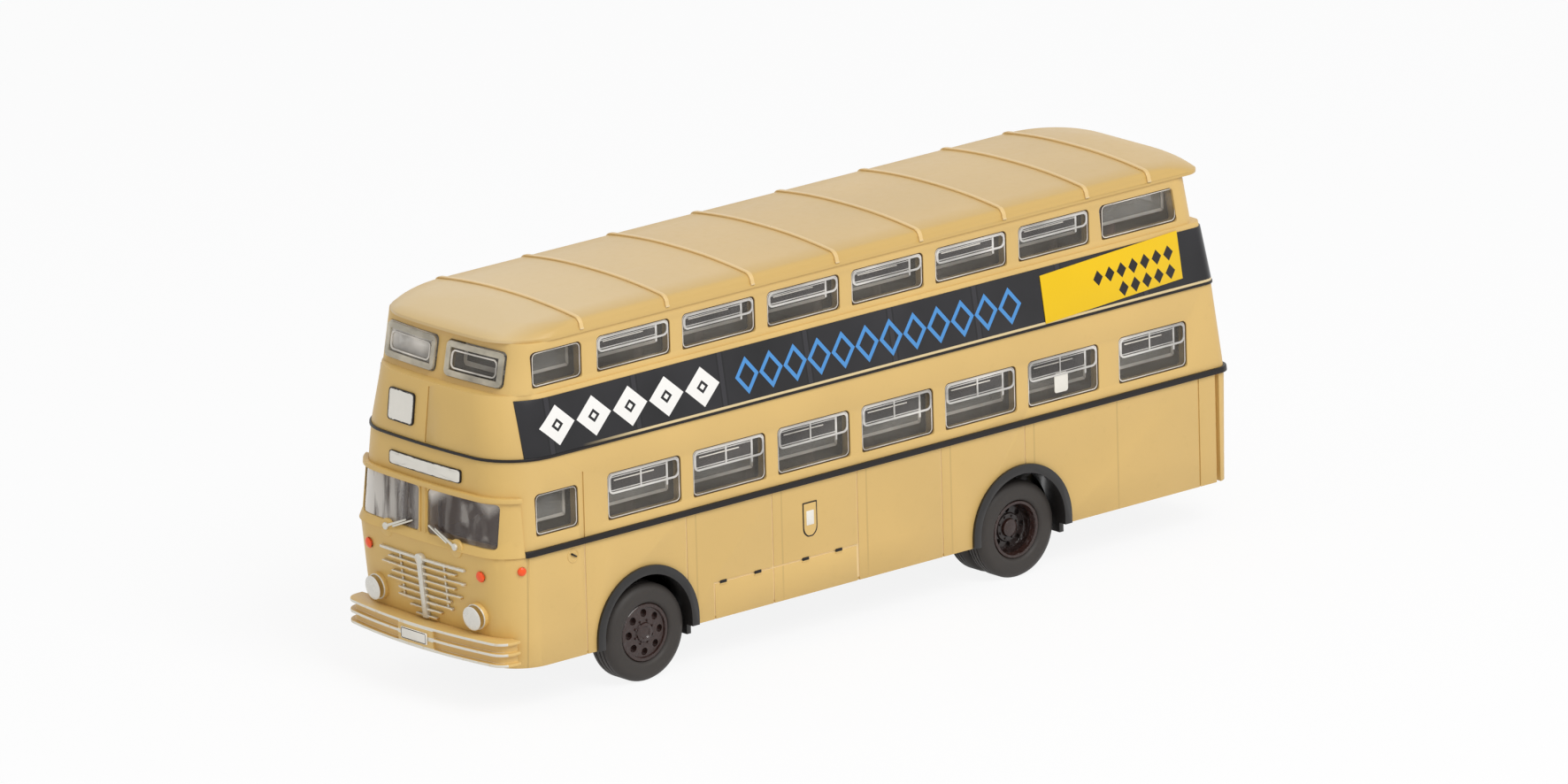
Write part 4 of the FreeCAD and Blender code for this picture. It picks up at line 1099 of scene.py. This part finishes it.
# Headlamps: a beige cup behind a domed lens in a thin silver rim; flashers: orange domes
headlamp = {"y": 4.85, "z": 6.25, "lens": 0.79, "dome": 0.09, "sink": 0.02, "rim": 0.8,
            "rimThick": 0.05, "rimSink": 0.03, "cup": 0.87, "cupDeep": 0.8}
flasher = {"y": 5.5, "z": 9.0, "radius": 0.36, "sideX": 27.6, "sideY": 5.2, "sideZ": 9.45,
           "turn": math.radians(64), "start": 10, "sideRadius": 0.29, "sink": 0.18,
           "dome": 0.16}
for side, word in sides:
    spot, out = hit("headlamps", side * headlamp["y"], headlamp["z"])
    glass = dome(headlamp["lens"], headlamp["dome"])
    seat(glass, spot - out * headlamp["sink"], out)
    done(glass, "headlamp_lens_" + word, "bus_body", "lamp_lens")
    rim = hoop(headlamp["rim"], headlamp["rimThick"], tall=1.2)
    seat(rim, spot - out * headlamp["rimSink"], out)
    done(rim, "headlamp_rim_" + word, "bus_body", "silver_paint", extra["bareSilver"])
    cup = puck(headlamp["cup"], headlamp["cupDeep"], soft=0.05, corners=56)
    seat(cup, spot - out * (headlamp["cupDeep"] + headlamp["sink"]), out)
    done(cup, "headlamp_cup_" + word, "bus_body", "body_paint")
    ahead, aside = math.cos(flasher["turn"]), side * math.sin(flasher["turn"])
    start = (flasher["sideX"] + ahead * flasher["start"],
             side * flasher["sideY"] + aside * flasher["start"], flasher["sideZ"])
    spots = (("front", flasher["radius"], hit("flashers", side * flasher["y"], flasher["z"])),
             ("side", flasher["sideRadius"], strike("flashers", start, (-ahead, -aside, 0))))
    for kind, radius, (spot, out) in spots:
        lamp = dome(radius, flasher["dome"])
        seat(lamp, spot - out * flasher["sink"], out)
        done(lamp, f"flasher_{kind}_{word}", "bus_body", "orange_lens")
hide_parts("headlamps")
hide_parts("flashers")
print("lamps made")

# Wipers: a boss on the surround, a pivot knob, a tapered arm and a blade
wiper = {"y": 3.4, "z": 10.6, "run": 2.75, "rise": 1.12, "back": 0.1, "armShare": 0.72,
         "armWide": 0.2, "armTall": 0.1, "bladeWide": 0.13, "bladeTall": 0.14, "bladeAt": 0.8,
         "bladeLong": 2.0, "bladeDown": 0.17, "boss": 0.6, "bossDeep": 0.24, "bossDown": 0.12,
         "knob": 0.24, "knobDeep": 0.16}
wiperIn = {"boss": 0.36, "knob": 0.13, "arm": 0.08, "blade": 0.1}  # behind the CAD piece's face
for side, word in sides:
    spot = hit("wipers", side * wiper["y"], wiper["z"])[0]
    along = Vector((-wiper["back"], -side * wiper["run"], wiper["rise"]))
    behind = {kind: spot - Vector((deep, 0, 0)) for kind, deep in wiperIn.items()}
    boss = puck(wiper["boss"], wiper["bossDeep"], soft=0.08)
    seat(boss, behind["boss"] - Vector((0, 0, wiper["bossDown"])), (1, 0, 0))
    done(boss, "wiper_boss_" + word, "bus_body", "body_paint")
    knob = puck(wiper["knob"], wiper["knobDeep"], soft=0.05)
    seat(knob, behind["knob"], (1, 0, 0))
    arm = taperBar(along.length * wiper["armShare"], wiper["armWide"], wiper["armTall"],
                   endShare=0.55, soft=0.025)
    seatAlong(arm, behind["arm"], along, (1, 0, 0))
    blade = taperBar(wiper["bladeLong"], wiper["bladeWide"], wiper["bladeTall"],
                     endShare=0.8, soft=0.02)
    start = behind["blade"] + along.normalized() * wiper["bladeAt"]
    seatAlong(blade, start - Vector((0, 0, wiper["bladeDown"])), along, (1, 0, 0))
    piece = joinAll([knob, arm, blade])
    done(piece, "wiper_" + word, "bus_body", "silver_paint", extra["bareSilver"])
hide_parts("wipers")
print("wipers made")

# Left side: door handle in its round recess
handle = {"x": bus["nose"] - 6.0, "z": 9.67, "dish": 0.42, "dishThick": 0.06, "dishFlat": 0.7,
          "long": 0.52, "wide": 0.13, "tall": 0.12, "forward": 0.2, "up": 0.16, "fall": 0.6}
outward = (0, 1, 0)
dish = hoop(handle["dish"], handle["dishThick"], handle["dishFlat"], steps=40, corners=10)
seat(dish, (handle["x"], bus["bodyHalf"], handle["z"]), outward)
done(dish, "door_handle_dish", "bus_body", "body_paint")
lever = taperBar(handle["long"], handle["wide"], handle["tall"], endShare=0.7, soft=0.03)
seatAlong(lever, (handle["x"] + handle["forward"], bus["bodyHalf"], handle["z"] + handle["up"]),
          (-1, 0, -handle["fall"]), outward)
done(lever, "door_handle_lever", "bus_body", "dark_trim")

# Left side: hatch latches, each a dark slot over a small lip
latches = {"stations": (18.3, 21.2, 25.2, 28.0), "z": 5.36, "wide": 0.56, "tall": 0.2,
           "lipShare": 1.1, "lipTall": 0.09, "lipDown": 0.05, "sink": 0.01}
for i, station in enumerate(latches["stations"]):
    x, y = bus["nose"] - station, bus["bodyHalf"] - latches["sink"]
    slot = plate(latches["wide"], latches["tall"], corner=0.04, deep=0.04, soft=0.012)
    seat(slot, (x, y, latches["z"]), outward)
    done(slot, f"hatch_latch_{i + 1}", "bus_body", "dark_trim")
    lip = plate(latches["wide"] * latches["lipShare"], latches["lipTall"], corner=0.02,
                deep=0.05, soft=0.015)
    seat(lip, (x, y, latches["z"] - latches["tall"] / 2 - latches["lipDown"]), outward)
    done(lip, f"hatch_lip_{i + 1}", "bus_body", "body_paint")


# Left side: a blank shield, square on top and round below, and a blank notice in a window
def badgeForm(wide, tall, corner, bottom):
    piece = flatForm(wide, tall, corner, steps=2)
    openEdit(piece)
    bpy.ops.mesh.bisect(plane_co=(0, 0, 0), plane_no=(0, 1, 0))
    closeEdit()
    modify(piece, "SUBSURF", subdivision_type="SIMPLE", levels=3, render_levels=3)
    for point in piece.data.vertices:
        y = point.co.y / mm
        if y < -tall / 2 + bottom:
            depth = (-tall / 2 + bottom - y) / bottom
            point.co.x *= math.sqrt(max(1 - (depth * 0.96) ** 2, 0.0))  # a blunt end
    return piece


badge = {"x": bus["nose"] - 25.65, "z": 7.9, "wide": 1.2, "tall": 2.3, "edge": 0.09,
         "corner": 0.04, "round": 0.6, "spotWide": 0.62, "spotTall": 0.95, "spotUp": 0.1}
notice = {"x": bus["nose"] - 47.25, "z": 12.45, "wide": 1.15, "tall": 1.3, "corner": 0.18}
for kind, less, deep, slot in (("rim", 0.0, 0.02, "dark_trim"),
                               ("field", 2 * badge["edge"], 0.03, "body_paint")):
    piece = badgeForm(badge["wide"] - less, badge["tall"] - less, badge["corner"],
                      badge["round"])
    seat(piece, (badge["x"], bus["bodyHalf"], badge["z"]), outward)
    thicken(piece, deep, soft=0.006)
    done(piece, "badge_" + kind, "bus_body", slot)
piece = plate(badge["spotWide"], badge["spotTall"], badge["corner"], deep=0.045, soft=0.01)
seat(piece, (badge["x"], bus["bodyHalf"], badge["z"] + badge["spotUp"]), outward)
done(piece, "badge_spot", "bus_body", "sign_white")
piece = plate(notice["wide"], notice["tall"], notice["corner"], deep=0.05, soft=0.015)
seat(piece, (notice["x"], bus["bodyHalf"] - bus["glassInset"], notice["z"]), outward)
done(piece, "window_notice", "bus_body", "sign_white")
print("side fittings made")

# Underside: frame rails, cross members, exhaust and pin marks on the chassis plate
under = {
    "z": 3.4, "railWide": 0.5, "railTall": 0.26, "crossWide": 0.42, "crossTall": 0.2,
    "pin": 0.45, "pinTall": 0.04,
    "rails": ((-8.3, 13.5, 4.4), (-29.6, -18.2, 2.4), (23.4, 28.2, 3.0)),  # from x to x at y
    "crosses": ((12.9, 4.4), (-1.4, 4.4), (-28.6, 2.4), (-24.8, 2.4), (-21.0, 2.4), (25.6, 3.0)),
    "pins": ((8.6, 5.6), (-6.0, 5.6), (-15.9, 4.9), (-23.0, 4.6), (26.4, 4.6)),
    "exhaustY": 2.6,
}
exhaust = {  # from x, length, width, height and rounding
    "pipe": (-8.0, 9.6, 0.3, 0.28, 0.1),
    "silencer": (-7.2, 4.2, 1.3, 0.36, 0.16),
}
down = (0, 0, -1)


def underBar(name, x, y, long, wide, tall, soft):
    piece = taperBar(long, wide, tall, endShare=1.0, soft=soft)
    seatAlong(piece, (x, y, under["z"]), (1, 0, 0), down)
    done(piece, name, "bus_body", "black_plastic")


for i, (start, end, y) in enumerate(under["rails"]):
    for side, word in sides:
        underBar(f"frame_rail_{word}_{i + 1}", start, side * y, end - start, under["railWide"],
                 under["railTall"], soft=0.06)
for i, (x, half) in enumerate(under["crosses"]):
    piece = plate(under["crossWide"], 2 * half, corner=0.05, deep=under["crossTall"], soft=0.05)
    seat(piece, (x, 0, under["z"]), down)
    done(piece, f"cross_member_{i + 1}", "bus_body", "black_plastic")
for i, (x, y) in enumerate(under["pins"]):
    for side, word in sides:
        piece = puck(under["pin"], under["pinTall"], soft=0.015)
        seat(piece, (x, side * y, under["z"]), down)
        done(piece, f"pin_mark_{word}_{i + 1}", "bus_body", "black_plastic")
for kind, (x, long, wide, tall, soft) in exhaust.items():
    underBar("exhaust_" + kind, x, under["exhaustY"], long, wide, tall, soft)
print("underside made")

# Wheels: hubs with hand holes, nuts and cap; tyres with round walls and grooves
wheel = {"radius": 3.2, "rim": 1.895, "bore": 1.905, "recess": 0.2, "hollows": 8,
         "nuts": 8, "nut": 0.085, "nutTall": 0.1, "nutOut": 0.76, "groove": 0.07,
         "twinGap": 0.25, "drumBore": 0.62}
axles = {  # hollow: radius, height, distance from the axle, depth of its inner end below the rim
    "front": {"x": bus["frontAxle"], "face": 7.55, "wide": 2.15, "body": "front_wheelset",
              "paint": "hub", "hollow": (0.25, 0.3, 1.27, 0.4), "nutDown": 0.13,
              "twin": False},
    "rear": {"x": bus["rearAxle"], "face": 7.25, "wide": 1.7, "body": "rear_wheelset",
             "paint": "rearHub", "hollow": (0.21, 0.4, 1.19, 1.1), "nutDown": 0.76,
             "twin": True},
}


# Copies of a piece, seated at a distance from Z and a height, turned about Z and joined
def around(piece, distance, height, count, first=0.0):
    selectOnly(piece)
    piece.location = (distance * mm, 0, height * mm)
    settle()
    pieces = []
    for i in range(count):
        twin = copyOf(piece, piece.name + "_copy")
        selectOnly(twin)
        twin.rotation_euler = (0, 0, first + 2 * math.pi * i / count)
        settle()
        pieces.append(twin)
    drop(piece)
    return joinAll(pieces)


# A solid of revolution about Z from (radius, height) points in mm
def turned(profile, steps):
    mesh = bpy.data.meshes.new("turned")
    mesh.from_pydata([(r * mm, 0, h * mm) for r, h in profile],
                     [(i, i + 1) for i in range(len(profile) - 1)], [])
    piece = newPiece("turned", mesh)
    selectOnly(piece)
    bpy.ops.object.mode_set(mode="EDIT")
    bpy.ops.mesh.select_mode(type="VERT")
    bpy.ops.mesh.select_all(action="SELECT")
    bpy.ops.mesh.spin(steps=steps, angle=2 * math.pi, center=(0, 0, 0), axis=(0, 0, 1))
    bpy.ops.mesh.select_all(action="SELECT")
    bpy.ops.mesh.remove_doubles(threshold=0.003 * mm)
    bpy.ops.mesh.normals_make_consistent(inside=False)
    closeEdit()
    return piece


# Heights run from the tyre's inner face, 0, to its outer face, wide
def tyreForm(wide):
    top, rim, groove = wheel["radius"], wheel["bore"], wheel["groove"]
    wall = [(rim, 0.28), (rim + 0.12, 0.1), (rim + 0.3, 0.02), (rim + 0.42, 0.045),
            (rim + 0.75, 0.0), (top - 0.34, 0.05), (top - 0.12, 0.18), (top - 0.02, 0.36)]
    tread = []
    for share in (0.32, 0.5):
        h = wide * share
        tread += [(top, h - groove), (top - groove, h - 0.04), (top - groove, h + 0.04),
                  (top, h + groove)]
    lower = wall + [(top, 0.42)] + tread[:4]
    profile = lower + tread[4:] + [(r, wide - h) for r, h in reversed(lower)]
    profile.append(profile[0])
    return turned(profile, 96)


# Heights run from the hub's inner face to its rim, deep
def frontHubForm(deep):
    rim = wheel["rim"]
    profile = [(0.0, 0.0), (rim, 0.0), (rim, deep - 0.04), (1.85, deep), (1.66, deep),
               (1.6, deep - 0.14), (1.5, deep - 0.16), (1.0, deep - 0.1), (0.86, deep - 0.12),
               (0.66, deep - 0.12), (0.6, deep - 0.02), (0.42, deep + 0.02), (0.34, deep - 0.06),
               (0.2, deep - 0.05), (0.0, deep - 0.02)]
    return turned(profile, 64)


def rearHubForm(deep):
    rim, floor = wheel["rim"], deep - 0.9
    profile = [(0.0, 0.0), (rim, 0.0), (rim, deep - 0.04), (1.86, deep), (1.7, deep),
               (1.64, deep - 0.08), (1.58, floor + 0.25), (1.4, floor), (0.98, floor + 0.02),
               (0.9, floor + 0.14), (0.62, floor + 0.16), (0.56, floor + 0.34),
               (0.36, floor + 0.42), (0.0, floor + 0.44)]
    return turned(profile, 64)


# The inner twin's drum fills the gap between the two tyres
def drumForm(deep):
    bore, rim = wheel["drumBore"], wheel["rim"]
    drum = turned([(bore, 0.0), (rim, 0.0), (rim, deep), (bore, deep), (bore, 0.0)], 48)
    roundEdges(drum, 0.04)
    return drum


for axle, kind in axles.items():
    wide = kind["wide"]
    deep = wide - wheel["recess"]
    radius, tall, distance, sunk = kind["hollow"]
    tyre = tyreForm(wide)
    smooth(tyre, 40)
    hub = rearHubForm(deep) if kind["twin"] else frontHubForm(deep)
    hollow = puck(radius, tall, soft=0.0, corners=20)
    hollows = around(hollow, distance, deep - sunk, wheel["hollows"])
    modify(hub, "BOOLEAN", operation="DIFFERENCE", object=hollows, solver="EXACT")
    drop(hollows)
    smooth(hub, 35)
    nut = puck(wheel["nut"], wheel["nutTall"], soft=0.015, corners=6)
    nuts = around(nut, wheel["nutOut"], deep - kind["nutDown"], wheel["nuts"],
                  math.pi / wheel["nuts"])
    hub = joinAll([hub, nuts])
    forms = [("hub", hub, 0.0, "hub_plastic", extra[kind["paint"]]),
             ("tyre", tyre, 0.0, "tyre_rubber", None)]
    if kind["twin"]:
        step = wide + wheel["twinGap"]
        forms += [("inner_tyre", tyre, step, "tyre_rubber", None),
                  ("drum", drumForm(step), step, "hub_plastic", None)]
    for side, word in sides:
        for part, form, inward, slot, paint in forms:
            piece = copyOf(form, part)
            seat(piece, (kind["x"], side * (kind["face"] - wide - inward), bus["axleHeight"]),
                 (0, side, 0))
            done(piece, f"{axle}_{part}_{word}", kind["body"], slot, paint)
            if word == "left" and part in ("hub", "tyre"):
                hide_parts(f"{axle}_{part}s")
    for form in {entry[1] for entry in forms}:
        drop(form)
print("wheels made")

# Floor, light and camera
studio = {
    "floorSize": 1.2,
    "floorColour": (0.93, 0.93, 0.94),
    "backdrop": (1.0, 1.0, 1.0),
    "backdropShare": 0.88,
    "worldLight": 0.55,
    "keyPower": 1.2,
    "fillPower": 0.05,
    "keyPlace": (0.04, 0.32, 0.35),
    "fillPlace": (0.35, -0.05, 0.2),
    "lightSize": 0.25,
    "cameraPlace": (0.758006, 0.888893, 0.348899),
    "cameraRight": (-0.75585773, 0.65421091, -0.02621427),
    "cameraUp": (-0.19961373, -0.19212685, 0.96085464),
    "cameraForward": (-0.62356512, -0.73150213, -0.27581005),
    "lens": 436.35,
    "sensor": 36,
}

selectNone()
bpy.ops.mesh.primitive_plane_add(size=studio["floorSize"], location=(0, 0, 0))
floor = bpy.context.object
floor.name = "floor"
ground = Paint("floor_white", studio["floorColour"], 0.8, Specular_IOR_Level=0.1)
floor.data.materials.append(ground.material)


# What the camera, shiny and clear surfaces see: 1 for those rays, else 0
def seenRays(paint):
    rays = paint.node("ShaderNodeLightPath", {}, {}).socket.node
    seen = [Value(paint, rays.outputs["Is " + kind + " Ray"])
            for kind in ("Camera", "Glossy", "Transmission")]
    return seen[0].orWith(seen[1]).orWith(seen[2])


glow = ground.node("ShaderNodeEmission", {}, {"Color": (*studio["backdrop"], 1), "Strength": 1.0})
shown = ground.node("ShaderNodeMixShader", {}, {0: seenRays(ground) * studio["backdropShare"],
                                                1: Value(ground, ground.shader.outputs[0]),
                                                2: glow})
ground.tree.links.new(shown.socket, ground.tree.nodes["Material Output"].inputs["Surface"])

world = bpy.data.worlds.new("studio")
bpy.context.scene.world = world
world.use_nodes = True
sky = world.node_tree.nodes["Background"]
sky.inputs["Color"].default_value = (1, 1, 1, 1)


# The world is white for the same rays
class Sky(Paint):
    def __init__(self):
        self.tree = world.node_tree


seen = seenRays(Sky())
strength = seen * (1.0 - studio["worldLight"]) + studio["worldLight"]
world.node_tree.links.new(strength.socket, sky.inputs["Strength"])

# Two soft lights that look at the origin
for name in ("key", "fill"):
    light = bpy.data.lights.new(name, "AREA")
    light.size = studio["lightSize"]
    light.energy = studio[name + "Power"]
    lamp = newPiece(name, light)
    lamp.location = studio[name + "Place"]
    lamp.rotation_euler = lamp.location.to_track_quat("Z", "Y").to_euler()

camera = newPiece("camera", bpy.data.cameras.new("camera"))
axes = Matrix((studio["cameraRight"], studio["cameraUp"],
               [-part for part in studio["cameraForward"]])).transposed()
camera.matrix_world = Matrix.Translation(studio["cameraPlace"]) @ axes.to_4x4()
camera.data.lens = studio["lens"]
camera.data.sensor_width = studio["sensor"]
bpy.context.scene.camera = camera
bpy.context.scene.view_settings.view_transform = "Standard"
print("studio ready")
